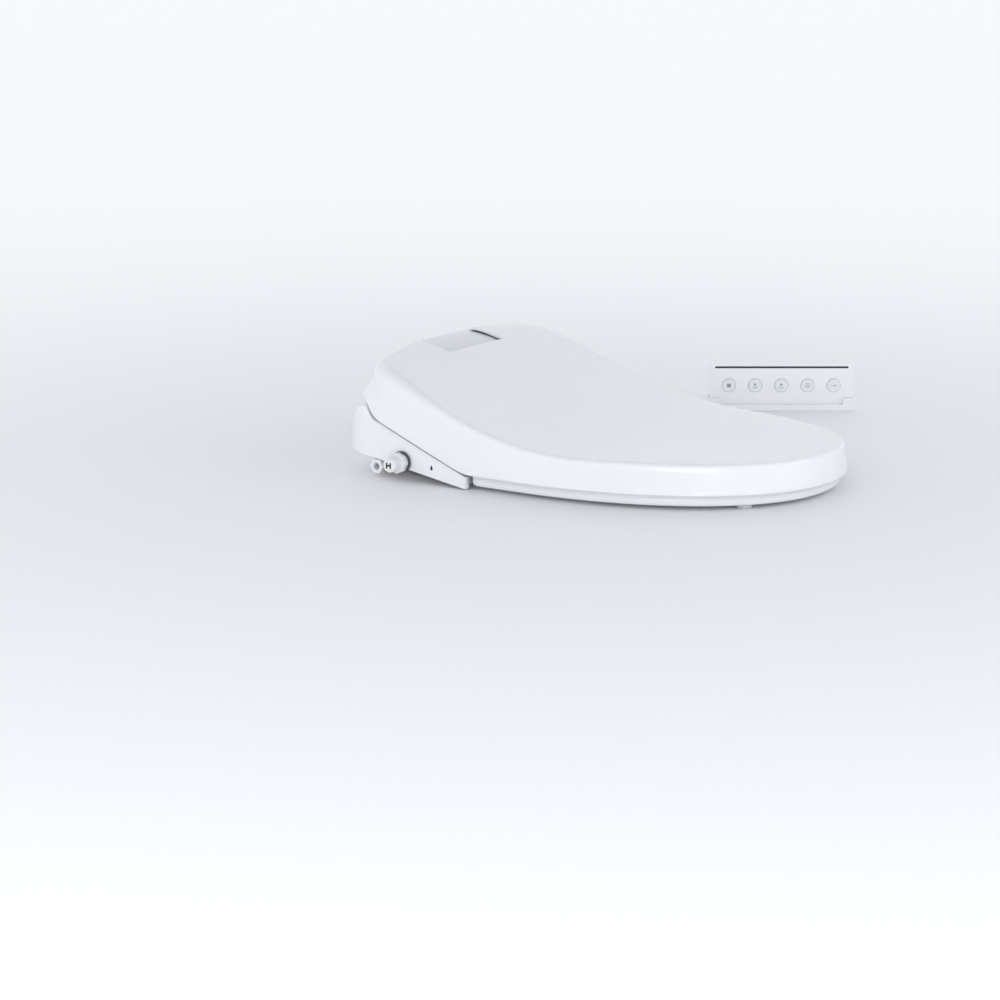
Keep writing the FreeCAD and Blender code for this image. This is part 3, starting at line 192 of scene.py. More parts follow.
# Grain sizes are in millimetres. Mould texture, brushing and foil are finer than a render shows, so
# their grain is drawn at 0.4 mm or more.
FINISHES: dict[str, Finish] = {
    # gloss injection-moulded ABS of the lid and covers: soft even shine, light caught along the edges
    "white_shell": Finish("abs_gloss_moulded", "#EDEEF2", 0.24, coat=0.25),
    # satin injection-moulded polypropylene of the seat ring: a duller, slightly warmer white
    "seat_white": Finish("polypropylene_satin_moulded", "#E9EAEE", 0.34, coat=0.1),
    # glass-filled nylon and acetal inner mouldings: dry grey with a fine tooth
    "inner_plastic": Finish("nylon_glass_filled_moulded", "#B9BCC0", 0.55, Grain.TEXTURED, 0.8, 0.01),
    # black moulded ABS: dark, with a faint sheen
    "dark_plastic": Finish("abs_black_moulded", "#17181A", 0.42, Grain.TEXTURED, 0.6, 0.008),
    # tinted polycarbonate of the indicator window: a clear glossy face a shade cooler than the lid
    "window_tint": Finish("polycarbonate_tinted_moulded", "#D3D9E0", 0.12, coat=0.4),
    # solder-masked glass-epoxy board: flat dark green
    "board_green": Finish("glass_epoxy_solder_masked", "#1F5C37", 0.4, Grain.TEXTURED, 1.2, 0.02),
    # soft elastomer feet and buffers: matt pale grey
    "rubber_pad": Finish("elastomer_moulded", "#C9CACA", 0.7, Grain.TEXTURED, 0.5, 0.01),
    # rolled stainless steel: grey metal with fine lines across
    "steel": Finish("stainless_steel_brushed", "#B8B9BB", 0.3, Grain.BRUSHED, 0.5, 0.003, 1.0),
    # drawn and polished stainless tube: near-mirror metal
    "wand_steel": Finish("stainless_steel_polished", "#CACBCD", 0.14, Grain.BRUSHED, 0.8, 0.001, 1.0),
    # natural nylon gears: cream and slightly waxy
    "nylon_gear": Finish("nylon_natural_moulded", "#E3DDCB", 0.5),
    # turned brass: yellow metal with tool lines
    "brass_fitting": Finish("brass_turned", "#C9A15C", 0.26, Grain.BRUSHED, 0.4, 0.003, 1.0),
    # etched aluminium heating foil: pale metal with a broken sheen
    "heater_foil": Finish("aluminium_foil_etched", "#C3C4C6", 0.35, Grain.WOUND, 0.6, 0.004, 1.0),
    # pressed activated carbon: dull black and grainy
    "carbon": Finish("activated_carbon_pressed", "#161616", 0.85, Grain.TEXTURED, 0.7, 0.08),
    # gloss moulded ABS keys: pale grey, just darker than the case
    "key_grey": Finish("abs_key_moulded", "#E3E6EA", 0.3, coat=0.2),
    # satin moulded ABS cap and nut: off-white without a clear reflection
    "grey_knob": Finish("abs_satin_moulded", "#E6E7EA", 0.38),
}
# dark grey ring at the strainer cap's root, matt: painted shade that reads as a shadowed ring where the cap
# meets the cheek
CAP_ROOT_SHADE = Finish("cap_root_painted_shade", "#5F6368", 0.6, Grain.TEXTURED, 0.5, 0.01)
# pad-printed ink: flat mid grey
INK = Finish("ink_pad_printed", "#8D939B", 0.5)
# grey cloth hung over the set: dulls the sky in the lid's flat top
SHADE = Finish("cloth_grey", "#8A8D93", 0.9, Grain.TEXTURED, 2.0, 0.05)
# seamless painted floor: near-white and matt
FLOOR = Finish("floor_painted", "#F7F8FA", 0.6, Grain.TEXTURED, 3.0, 0.02)


class Paint:
    """Makes each finish's material once and hands it out."""

    def __init__(self) -> None:
        self._made: dict[str, bpy.types.Material] = {}

    def coat(self, item: bpy.types.Object, finish: Finish) -> None:
        """Gives an object one material.

        Args:
            item: Mesh object to paint.
            finish: Finish to use.
        """
        if finish.name not in self._made:
            self._made[finish.name] = finish.build()
        item.data.materials.clear()
        item.data.materials.append(self._made[finish.name])


# ------------------------------------------------------------------ geometry
@dataclass
class Shape:
    """Vertices in millimetres and faces of one or more closed surfaces."""

    points: np.ndarray = field(default_factory=lambda: np.zeros((0, 3)))
    faces: list[tuple[int, ...]] = field(default_factory=list)

    def add(self, other: "Shape") -> "Shape":
        """Joins another shape's surfaces to this one.

        Args:
            other: Shape whose surfaces are added.

        Returns:
            This shape.
        """
        lift = len(self.points)
        self.points = np.vstack([self.points, other.points])
        self.faces += [tuple(i + lift for i in face) for face in other.faces]
        return self

    def mirrored(self) -> "Shape":
        """Gives the mirror image across the middle plane.

        Returns:
            A new shape on the other side.
        """
        return Shape(self.points * (-1, 1, 1), [face[::-1] for face in self.faces])

    def make(self, name: str, crease: float = 38.0) -> bpy.types.Object:
        """Turns the shape into a mesh object with outward normals.

        Args:
            name: Name of the object.
            crease: Angle in degrees above which an edge is shown sharp.

        Returns:
            The new object, linked to the scene.
        """
        mesh = bpy.data.meshes.new(name)
        mesh.from_pydata((self.points * MM).tolist(), [], self.faces)
        work = bmesh.new()
        work.from_mesh(mesh)
        bmesh.ops.remove_doubles(work, verts=work.verts, dist=2e-6)
        bmesh.ops.recalc_face_normals(work, faces=work.faces)
        work.to_mesh(mesh)
        work.free()
        mesh.shade_smooth()
        mesh.set_sharp_from_angle(angle=math.radians(crease))
        item = bpy.data.objects.new(name, mesh)
        bpy.context.scene.collection.objects.link(item)
        LOG.info("made %s, %d faces", name, len(self.faces))
        return item


def loft(rows: np.ndarray, ring: bool = False) -> Shape:
    """Skins closed rows of points, one quad between each point, its neighbour and the next row.

    The two end rows are capped unless the rows form a ring.

    Args:
        rows: Array of rows by points by coordinates.
        ring: Whether the last row joins the first.

    Returns:
        The closed shape.
    """
    count, around = rows.shape[:2]
    index = np.arange(count * around).reshape(count, around)
    low = index if ring else index[:-1]
    high = np.roll(index, -1, 0) if ring else index[1:]
    quads = np.stack([low, np.roll(low, -1, 1), np.roll(high, -1, 1), high], -1).reshape(-1, 4)
    faces = [tuple(q) for q in quads.tolist()]
    if not ring:
        faces += [tuple(index[0][::-1].tolist()), tuple(index[-1].tolist())]
    return Shape(rows.reshape(-1, 3), faces)


def outward(line: np.ndarray) -> np.ndarray:
    """Unit normals of a closed anticlockwise plan line: the step between neighbours, turned outwards.

    Args:
        line: Points of the line, in a plane.

    Returns:
        One normal for each point.
    """
    step = np.roll(line, -1, 0) - np.roll(line, 1, 0)
    normal = np.stack([step[:, 1], -step[:, 0]], -1)
    return normal / np.linalg.norm(normal, axis=1, keepdims=True)


def bent(start: np.ndarray, pole: np.ndarray, end: np.ndarray, share: np.ndarray) -> np.ndarray:
    """Quadratic curve from a start to an end, drawn towards a pole.

    Args:
        start: First point.
        pole: Point that the curve leans to.
        end: Last point.
        share: Shares of the way from 0 to 1, in a column.

    Returns:
        One point for each share.
    """
    return (1 - share) ** 2 * start + 2 * share * (1 - share) * pole + share**2 * end


def rounded(points: list[tuple[float, float]], radius: float, steps: int = 8) -> np.ndarray:
    """Rounds each corner of a closed polygon with a quadratic curve between its two tangent points.

    Args:
        points: Corners in order.
        radius: Radius of every corner.
        steps: Points on each arc.

    Returns:
        Points of the rounded outline, anticlockwise.
    """
    corner = np.array(points, float)
    area = np.sum(corner[:, 0] * np.roll(corner[:, 1], -1) - np.roll(corner[:, 0], -1) * corner[:, 1])
    corner = corner if area > 0 else corner[::-1]
    before = np.roll(corner, 1, 0) - corner
    after = np.roll(corner, -1, 0) - corner
    reach = np.minimum(np.linalg.norm(before, axis=1), np.linalg.norm(after, axis=1))
    before /= np.linalg.norm(before, axis=1, keepdims=True)
    after /= np.linalg.norm(after, axis=1, keepdims=True)
    half = np.arccos(np.clip(np.sum(before * after, axis=1), -1, 1)) / 2
    back = np.minimum(radius / np.tan(half), 0.48 * reach)
    share = np.linspace(0, 1, steps)[None, :, None]
    start, end = corner + before * back[:, None], corner + after * back[:, None]
    return bent(start[:, None], corner[:, None], end[:, None], share).reshape(-1, 2)


def bar(x0: float, y0: float, x1: float, y1: float) -> list[tuple[float, float]]:
    """Corners of a rectangle.

    Args:
        x0: Left side.
        y0: Lower side.
        x1: Right side.
        y1: Upper side.

    Returns:
        Four corners, anticlockwise.
    """
    return [(x0, y0), (x1, y0), (x1, y1), (x0, y1)]


def prism(line: np.ndarray, low: float, high: float, edge: float, frame: np.ndarray | None = None) -> Shape:
    """Extrudes a plan outline; both rims move in along the normals on a quarter circle.

    Args:
        line: Closed anticlockwise outline.
        low: Height of the lower end.
        high: Height of the upper end.
        edge: Radius of the rims.
        frame: Optional 3 by 4 matrix from outline coordinates to the frame's axes.

    Returns:
        The closed shape.
    """
    turn = np.linspace(0, math.pi / 2, 6)
    inset = np.concatenate([edge * (1 - np.sin(turn)), edge * (1 - np.sin(turn[::-1]))])
    height = np.concatenate([low + edge * (1 - np.cos(turn)), high - edge * (1 - np.cos(turn[::-1]))])
    normal = outward(line)
    flat = line[None] - inset[:, None, None] * normal[None]
    level = np.broadcast_to(height[:, None, None], flat.shape[:2] + (1,))
    rows = np.concatenate([flat, level], -1)
    if frame is not None:
        rows = rows @ frame[:, :3].T + frame[:, 3]
    return loft(rows)


def lathe(profile: list[tuple[float, float]], lobes: np.ndarray, centre: Vector, along: Vector) -> Shape:
    """Turns a profile about an axis: radius times lobe factor along a ray that goes round.

    Args:
        profile: Pairs of position along the axis and radius.
        lobes: Factor on the radius for each point around, for each profile point.
        centre: Point on the axis.
        along: Direction of the axis.

    Returns:
        The closed shape.
    """
    axis = np.array(along.normalized())
    side = np.array(along.orthogonal().normalized())
    other = np.cross(axis, side)
    around = lobes.shape[1]
    turn = np.linspace(0, 2 * math.pi, around, endpoint=False)
    ray = np.cos(turn)[:, None] * side + np.sin(turn)[:, None] * other
    place, radius = np.array(profile).T
    rows = place[:, None, None] * axis + (radius[:, None] * lobes)[:, :, None] * ray[None]
    return loft(rows + np.array(centre))


def smooth(value: np.ndarray | float) -> np.ndarray:
    """Eases a value from 0 to 1 by three times its square less twice its cube.

    Args:
        value: Any number or array.

    Returns:
        The eased value.
    """
    held = np.clip(value, 0.0, 1.0)
    return held * held * (3 - 2 * held)


def blurred(level: np.ndarray, width: float) -> np.ndarray:
    """Smooths values along a closed line by a running mean with bell-shaped weights.

    Args:
        level: One value for each point of the line.
        width: Standard deviation of the blur, in points.

    Returns:
        The smoothed values.
    """
    reach = math.ceil(3 * width)
    kernel = np.exp(-0.5 * (np.arange(-reach, reach + 1) / width) ** 2)
    padded = np.concatenate([level[-reach:], level, level[:reach]])
    return np.convolve(padded, kernel / kernel.sum(), "valid")


@dataclass(frozen=True)
class WandLine:
    """Straight line that the wand slides along, down and to the front."""

    port: tuple[float, float] = (-60.0, 14.0)
    slope: float = math.radians(30)

    def bore(self, name: str, radius: float, behind: float, length: float) -> bpy.types.Object:
        """Makes a round cutting tool along the line.

        Args:
            name: Name of the tool.
            radius: Radius of the bore.
            behind: Distance that the tool starts behind the port.
            length: Length of the tool.

        Returns:
            The tool, a closed cylinder.
        """
        way = Vector((0, -math.cos(self.slope), -math.sin(self.slope)))
        start = Vector((0, *self.port)) - way * behind
        return lathe([(0, radius), (length, radius)], np.ones((2, 40)), start, way).make(name)


# ------------------------------------------------------------------ lid
@dataclass(frozen=True)
class Plan:
    """Plan outline shared by the lid, the seat and the wash unit's cover."""

    half: float = 195.0
    nose: float = 283.5
    power: float = 2.11
    widest: float = -194.0
    rear: float = 52.0
    corner: float = 60.0
    taper: float = 7.0

    def outline(self, inset: float = 0.0, count: int = 420) -> np.ndarray:
        """Evenly spaced points of the outline, anticlockwise from the front middle.

        The front is half a superellipse, each flank a quadratic curve and each rear corner an arc.

        Args:
            inset: Distance that the outline is moved inwards.
            count: Number of points, even.

        Returns:
            Points in plan.
        """
        half, nose, tail = self.half - inset, self.nose - inset, self.half - inset - self.taper
        corner, rear = self.corner - inset, self.rear - inset
        turn = np.linspace(math.pi / 2, 0, 900)
        power = 2 / self.power
        front = np.stack([half * np.cos(turn) ** power, self.widest - nose * np.sin(turn) ** power], -1)
        share = np.linspace(0, 1, 300)[1:, None]
        top = rear - corner
        pole = np.array([[half, self.widest], [half, (self.widest + top) / 2], [tail, top]])
        flank = bent(*pole, share)
        bend = np.linspace(0, math.pi / 2, 200)[1:]
        arc = np.stack([tail - corner + corner * np.cos(bend), top + corner * np.sin(bend)], -1)
        side = np.vstack([front, flank, arc, [[0.0, rear]]])
        gone = np.concatenate([[0], np.cumsum(np.linalg.norm(np.diff(side, axis=0), axis=1))])
        even = np.linspace(0, gone[-1], count // 2 + 1)
        right = np.stack([np.interp(even, gone, side[:, k]) for k in (0, 1)], -1)
        right[0, 0] = right[-1, 0] = 0.0
        return np.vstack([right, right[-2:0:-1] * (-1, 1)])


@dataclass(frozen=True)
class LidForm:
    """Heights and edge sizes of the lid's moulding."""

    plan: Plan = Plan()
    wall: float = 3.0
    front_height: float = 50.0
    rear_height: float = 127.0
    crown_front: float = 2.0
    crown_rear: float = 10.0
    ramp: tuple[float, float, float] = (290.0, 45.0, 1.42)
    skirt: float = 18.0
    skirt_turn: float = -118.0
    skirt_slope: float = 0.389
    corner_height: float = 88.0
    lip_height: float = 112.0
    dish: float = 2.5

    def roof(self, x: np.ndarray, y: np.ndarray) -> np.ndarray:
        """Height of the top surface before its edge is rounded.

        An eased climb from front to rear, plus a parabolic crown across, less a round shallow dish.

        Args:
            x: Places across.
            y: Places along.

        Returns:
            Heights.
        """
        start, end, power = self.ramp
        climb = smooth(np.clip((y + start) / (start + end), 0, 1) ** power)
        crown = self.crown_front + climb * (self.crown_rear - self.crown_front)
        level = self.front_height + climb * (self.rear_height - self.front_height)
        hollow = self.dish * smooth(1 - np.hypot(x / 130, (y + 330) / 115))
        return level + crown * (1 - (x / self.plan.half) ** 2) - hollow

    def lean(self, line: np.ndarray) -> np.ndarray:
        """How far the side leans in from the outline up to the rounded edge.

        Straight steps between values along the side, eased to one value at the rear and smoothed.

        Args:
            line: Outline points.

        Returns:
            One distance for each point.
        """
        y = [-477, -450, -370, -290, -210, -130, -80, -30, 15, 52]
        side = np.interp(line[:, 1], y, [2.5, 5, 12.7, 13.8, 7.8, 2.5, 2, 6.5, 12, 12])
        rear = smooth((line[:, 1] - 40) / 11) * (1 - smooth((np.abs(line[:, 0]) - 70) / 60))
        return blurred(side * (1 - rear) + 5.0 * rear, 5.0)

    def edge(self, line: np.ndarray) -> np.ndarray:
        """Radius of the rounded edge around the top surface, stepped and smoothed as the lean is.

        Args:
            line: Outline points.

        Returns:
            One radius for each point.
        """
        side = np.interp(line[:, 1], [-477, -420, -290, -130, -60, -10, 30, 52], [5, 6, 7, 8, 12, 17, 20, 20])
        rear = smooth((line[:, 1] - 40) / 11) * (1 - smooth((np.abs(line[:, 0]) - 70) / 60))
        return blurred(side * (1 - rear) + 12.0 * rear, 5.0)

    def lower(self, line: np.ndarray) -> np.ndarray:
        """Height of the lid's lower edge: level, then a straight slope, then eased up at the rear.

        Args:
            line: Outline points.

        Returns:
            One height for each point.
        """
        x, y = np.abs(line[:, 0]), line[:, 1]
        slope = self.skirt + self.skirt_slope * np.maximum(y - self.skirt_turn, 0)
        knee = self.skirt - self.skirt_slope * (self.skirt_turn - 12)
        corner = knee + smooth((y - 12) / 15) * (self.corner_height - knee)
        level = np.where(y < 12, slope, corner)
        level += (self.lip_height - level) * smooth((136 - x) / 22) * (y > 40)
        return blurred(level, 2.0)

    def rows(self) -> np.ndarray:
        """Rows of the whole skin: outer top, edge, side, lip, and back along the inside.

        Each row is the outline moved in; the inside is the outside moved by the wall along the
        section's own angle.

        Returns:
            Rows by points by coordinates.
        """
        line = self.plan.outline()
        inward = -outward(line)
        lean, edge, low = self.lean(line), self.edge(line), self.lower(line)
        front, rear = line[:, 1].min(), line[:, 1].max()
        spine = np.stack([np.zeros(len(line)), -330 + (line[:, 1] - front) / (rear - front) * 270], -1)
        start = line + inward * (lean + edge)[:, None]
        outer, angle = [], []
        for share in np.linspace(1, 0, 26)[:-1]:
            flat = start * (1 - share) + spine * share
            outer.append(np.column_stack([flat, self.roof(*flat.T)]))
            angle.append(math.pi / 2)
        for turn in np.linspace(math.pi / 2, 0, 11):
            flat = line + inward * (lean + edge * (1 - math.cos(turn)))[:, None]
            outer.append(np.column_stack([flat, self.roof(*flat.T) - edge * (1 - math.sin(turn))]))
            angle.append(turn)
        brow = outer[-1][:, 2]
        for share in np.linspace(0, 1, 9)[1:]:
            flat = line + inward * (lean * (1 - share))[:, None]
            outer.append(np.column_stack([flat, brow + (low + self.wall / 2 - brow) * share]))
            angle.append(0.0)
        skin, lip = np.array(outer), []
        for turn in np.linspace(0, math.pi, 7)[1:-1]:
            flat = line + inward * (self.wall / 2 * (1 - math.cos(turn)))
            lip.append(np.column_stack([flat, low + self.wall / 2 * (1 - math.sin(turn))]))
        turn = np.array(angle)[:, None]
        inner = skin.copy()
        inner[:, :, :2] += inward[None] * (self.wall * np.cos(turn))[:, :, None]
        inner[:, :, 2] -= self.wall * np.sin(turn)
        return np.concatenate([skin, np.array(lip), inner[::-1]])

    def under(self, flat: np.ndarray) -> np.ndarray:
        """Height of the lid's outer skin over plan points inside the outline.

        The distance to the nearest outline point says whether the side or the rounded edge is there.

        Args:
            flat: Plan points, any leading shape.

        Returns:
            Heights in the same shape.
        """
        line = self.plan.outline()
        spot = flat.reshape(-1, 2)
        gap = np.linalg.norm(spot[:, None] - line[None], axis=2)
        near = gap.argmin(1)
        depth = gap[np.arange(len(spot)), near]
        lean, edge, low = self.lean(line)[near], self.edge(line)[near], self.lower(line)[near]
        roof = self.roof(spot[:, 0], spot[:, 1])
        bend = np.clip((depth - lean) / edge, 0, 1)
        arc = roof - edge * (1 - np.sqrt(1 - (1 - bend) ** 2))
        side = low + (roof - edge - low) * np.clip(depth / lean, 0, 1)
        return np.where(depth < lean, side, arc).reshape(flat.shape[:-1])


@dataclass
class Lid:
    """The hinged lid with its rear notch and hinge ribs."""

    form: LidForm
    paint: Paint
    notch_half: float = 57.0
    notch_front: float = -7.5
    notch_past: tuple[float, float, float] = (120.0, 60.0, 220.0)
    notch_corner: float = 5.0
    rib_sides: tuple[float, float] = (143.0, 157.0)
    rib_corner: float = 7.0
    rib_points: tuple[tuple[float, float], ...] = (
        (44, 72),
        (40, 83),
        (30, 86),
        (6, 90),
        (-6, 113),
        (-24, 108),
        (-22, 86),
        (10, 68),
        (34, 65),
    )

    def build(self) -> None:
        """Makes the lid's visible piece: the shell less its notch, with a rib on each side."""
        shell = loft(self.form.rows()).make("lid_moulding")
        rear, low, high = self.notch_past
        notch = rounded(bar(-self.notch_half, self.notch_front, self.notch_half, rear), self.notch_corner)
        cut_away(shell, prism(notch, low, high, 0.5).make("notch_tool"))
        rib = prism(rounded(list(self.rib_points), self.rib_corner), *self.rib_sides, 1.0, SIDEWAYS)
        ribs = Shape().add(rib).add(rib.mirrored())
        join(shell, ribs.make("rib_tool"))
        self.paint.coat(shell, FINISHES["white_shell"])
        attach(shell, "lid")
        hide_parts("lid_shell")


# outline coordinates along and up, thickness across
SIDEWAYS = np.array([[0.0, 0.0, 1.0, 0.0], [1.0, 0.0, 0.0, 0.0], [0.0, 1.0, 0.0, 0.0]])


def cut_away(item: bpy.types.Object, tool: bpy.types.Object) -> None:
    """Takes a tool's volume out of an object and removes the tool.

    Args:
        item: Object that is cut.
        tool: Closed object that cuts.
    """
    change = item.modifiers.new("cut", "BOOLEAN")
    change.operation, change.solver, change.object = "DIFFERENCE", "EXACT", tool
    settle(item)
    bpy.data.objects.remove(tool)


def settle(item: bpy.types.Object) -> None:
    """Writes an object's modifiers into its mesh.

    Args:
        item: Object whose modifiers are applied.
    """
    done = bpy.data.meshes.new_from_object(item.evaluated_get(bpy.context.evaluated_depsgraph_get()))
    item.modifiers.clear()
    item.data = done
    item.data.set_sharp_from_angle(angle=math.radians(38))


def join(item: bpy.types.Object, extra: bpy.types.Object) -> None:
    """Adds another object's surfaces to an object's mesh and removes the other object.

    Args:
        item: Object that stays.
        extra: Object that is taken in.
    """
    work = bmesh.new()
    work.from_mesh(item.data)
    work.from_mesh(extra.data)
    work.to_mesh(item.data)
    work.free()
    bpy.data.objects.remove(extra)


# ------------------------------------------------------------------ seat
@dataclass(frozen=True)
class SeatForm:
    """Sizes of the heated ring."""

    plan: Plan = Plan()
    inset: float = 8.0
    bottom: float = 5.0
    split: float = 14.0
    top: float = 33.0
    rear: float = -66.0
    shoulder: float = -121.0
    bar: float = 116.0
    hole: tuple[float, float] = (105.0, 140.0)
    centre: float = -262.0
    shoulder_corner: float = 12.0
    notch_corner: float = 14.0
    rear_corner: float = 16.0
    outer_edge: float = 8.0
    inner_edge: float = 14.0
    dome: float = 2.0
    tray_edge: float = 4.0

    def rims(self, count: int = 360) -> tuple[np.ndarray, np.ndarray]:
        """Outer and inner rim seen from the middle of the hole.

        The outer rim is the lid's plan moved in, closed by a bar with curved corners; the inner rim
        is an ellipse. Both are read at the same even directions.

        Args:
            count: Points around.

        Returns:
            Outer and inner points, one pair for each direction.
        """
        line = self.plan.outline(self.inset, 1600)
        keep = line[line[:, 1] < self.shoulder]
        right = keep[keep[:, 0] > 0]
        left = keep[keep[:, 0] <= 0]
        bar = [(right[-1, 0], self.shoulder), (self.bar, self.shoulder), (self.bar, self.rear)]
        bar += [(-x, y) for x, y in reversed(bar)]
        corner = np.array(bar)
        mark = []
        radii = [self.shoulder_corner, self.notch_corner, self.rear_corner]
        ahead = corner + (0.0, -1.0)
        path = np.vstack([ahead[:1], corner, ahead[-1:]])
        for i, radius in enumerate(radii + radii[::-1]):
            here = corner[i]
            before, after = path[i] - here, path[i + 2] - here
            before, after = before / np.linalg.norm(before), after / np.linalg.norm(after)
            share = np.linspace(0, 1, 12)[:, None]
            a, b = here + before * radius, here + after * radius
            mark.append(bent(a, here, b, share))
        limit = self.shoulder - self.shoulder_corner
        line = np.vstack([right[right[:, 1] < limit], *mark, left[left[:, 1] < limit]])
        middle = np.array((0.0, self.centre))
        polar = np.unwrap(np.arctan2(line[:, 1] - middle[1], line[:, 0]))
        reach = np.hypot(line[:, 0], line[:, 1] - middle[1])
        order = np.argsort(polar)
        even = np.linspace(0, 2 * math.pi, count, endpoint=False) + polar.min()
        far = np.interp(even, polar[order], reach[order], period=2 * math.pi)
        ray = np.stack([np.cos(even), np.sin(even)], -1)
        near = 1 / np.hypot(ray[:, 0] / self.hole[0], ray[:, 1] / self.hole[1])
        return middle + ray * far[:, None], middle + ray * near[:, None]

    def ring(self, section: list[tuple[float, float, float]]) -> Shape:
        """Skins the ring with one cross-section.

        Args:
            section: Share of the width from the outer rim, distance added inwards, and height.

        Returns:
            The closed ring.
        """
        outer, inner = self.rims()
        across = inner - outer
        step = across / np.linalg.norm(across, axis=1, keepdims=True)
        rows = []
        for share, inset, z in section:
            rows.append(np.column_stack([outer + across * share + step * inset, np.full(len(outer), z)]))
        return loft(np.array(rows), ring=True)

    def top_section(self) -> list[tuple[float, float, float]]:
        """Cross-section of the upper shell: quarter circles at both rims, a low sine dome between.

        Returns:
            Section points for ring.
        """
        brow, outer, inner = self.top - self.dome, self.outer_edge, self.inner_edge
        out: list[tuple[float, float, float]] = [(0.0, 0.4, self.split), (0.0, 0.0, self.split + 0.6)]
        for turn in np.linspace(0, math.pi / 2, 9):
            out.append((0.0, outer * (1 - math.cos(turn)), brow - outer * (1 - math.sin(turn))))
        for share in np.linspace(0, 1, 12)[1:-1]:
            rise = self.dome * math.sin(math.pi * min(share * 1.15, 1))
            out.append((share, outer - (outer + inner) * share, brow + rise))
        for turn in np.linspace(math.pi / 2, 0, 9):
            out.append((1.0, -inner * (1 - math.cos(turn)), brow - inner * (1 - math.sin(turn))))
        out += [(1.0, 0.0, self.split + 0.6), (1.0, -0.4, self.split)]
        return out

    def tray_section(self) -> list[tuple[float, float, float]]:
        """Cross-section of the tray that closes the ring from below, with round lower edges.

        Returns:
            Section points for ring.
        """
        edge, seam = self.tray_edge, self.split - 0.1
        out: list[tuple[float, float, float]] = [(1.0, -0.6, seam), (1.0, -0.2, self.split - 0.8)]
        for turn in np.linspace(0, math.pi / 2, 6):
            out.append((1.0, -0.2 - edge * (1 - math.cos(turn)), self.bottom + edge * (1 - math.sin(turn))))
        for turn in np.linspace(math.pi / 2, 0, 6):
            out.append((0.0, 0.2 + edge * (1 - math.cos(turn)), self.bottom + edge * (1 - math.sin(turn))))
        out += [(0.0, 0.2, self.split - 0.8), (0.0, 0.6, seam)]
        return out


@dataclass
class Seat:
    """The heated seat ring with its two hinge arms."""

    form: SeatForm
    paint: Paint
    wand: WandLine = WandLine()
    arch_radius: float = 8.6
    arm_sides: tuple[float, float] = (122.0, 140.0)
    arm_edge: float = 1.6
    arm_half: float = 7.0
    arm_length: float = 172.0
    arm_aim: tuple[float, float] = (-125.0, 22.0)
    hinge: tuple[float, float] = (34.0, 75.0)
    lug: float = 11.0

    def build(self) -> None:
        """Makes the upper shell with the arms, and the tray, both cut by the wand's arch."""
        top = self.form.ring(self.form.top_section()).make("seat_moulding")
        tray = self.form.ring(self.form.tray_section()).make("seat_tray")
        for item in (top, tray):
            cut_away(item, self.wand.bore("arch_tool", self.arch_radius, 200, 420))
        arm = prism(self._arm_line(), *self.arm_sides, self.arm_edge, SIDEWAYS)
        arms = Shape().add(arm).add(arm.mirrored())
        join(top, arms.make("arm_tool"))
        for item, node in ((top, "seat_top_shell"), (tray, "seat_bottom_shell")):
            self.paint.coat(item, FINISHES["seat_white"])
            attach(item, "seat")
            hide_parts(node)

    def _arm_line(self) -> np.ndarray:
        """Side outline of an arm: a round lug about the hinge, and a straight bar down to the ring.

        Returns:
            Closed anticlockwise outline.
        """
        y, z = self.hinge
        lean = math.atan2(z - self.arm_aim[1], y - self.arm_aim[0])
        turn = np.linspace(-math.pi / 2 + lean + 0.6, math.pi / 2 + lean + 0.25, 26)
        lug = np.stack([y + self.lug * np.cos(turn), z + self.lug * np.sin(turn)], -1)
        ray = np.array((-math.cos(lean), -math.sin(lean)))
        up = np.array((-math.sin(lean), math.cos(lean)))
        tip = np.array(self.hinge) + ray * self.arm_length
        return np.vstack([lug, [tip + up * self.arm_half + (0, -1)], [tip - up * self.arm_half]])


# ------------------------------------------------------------------ wash unit
@dataclass(frozen=True)
class CoverForm:
    """Sizes of the wash unit's cover."""

    inset: float = 5.0
    wall: float = 3.0
    gap: float = 3.2
    dome: tuple[float, float, float] = (117.0, -62.0, 47.5)
    dome_edge: float = 6.0
    clear: float = 3.4
    foot: float = 4.2
    front: float = -118.0
    side_rear: float = 32.0
    shelf: tuple[float, float, float] = (65.0, 42.0, 42.0)
    ear: tuple[float, float, float] = (146.0, 165.0, 57.0)
    rim: tuple[float, float, float] = (169.0, 184.0, 81.0)
    trough: tuple[float, float] = (114.0, 164.0)
    trough_low: float = 15.0
    trough_high: float = 58.0
    trough_turn: float = 11.0
    cheek_top: float = 86.0
    shelf_start: float = -10.0
    shelf_depth: float = 27.0
    rim_thick: float = 5.0
    rim_edge: float = 2.4

    def hem(self, y: np.ndarray) -> np.ndarray:
        """Height of the cover's lower edge, a straight line rising to the rear.

        Args:
            y: Places along.

        Returns:
            Heights.
        """
        return 0.6 + 0.157 * (y - self.front)


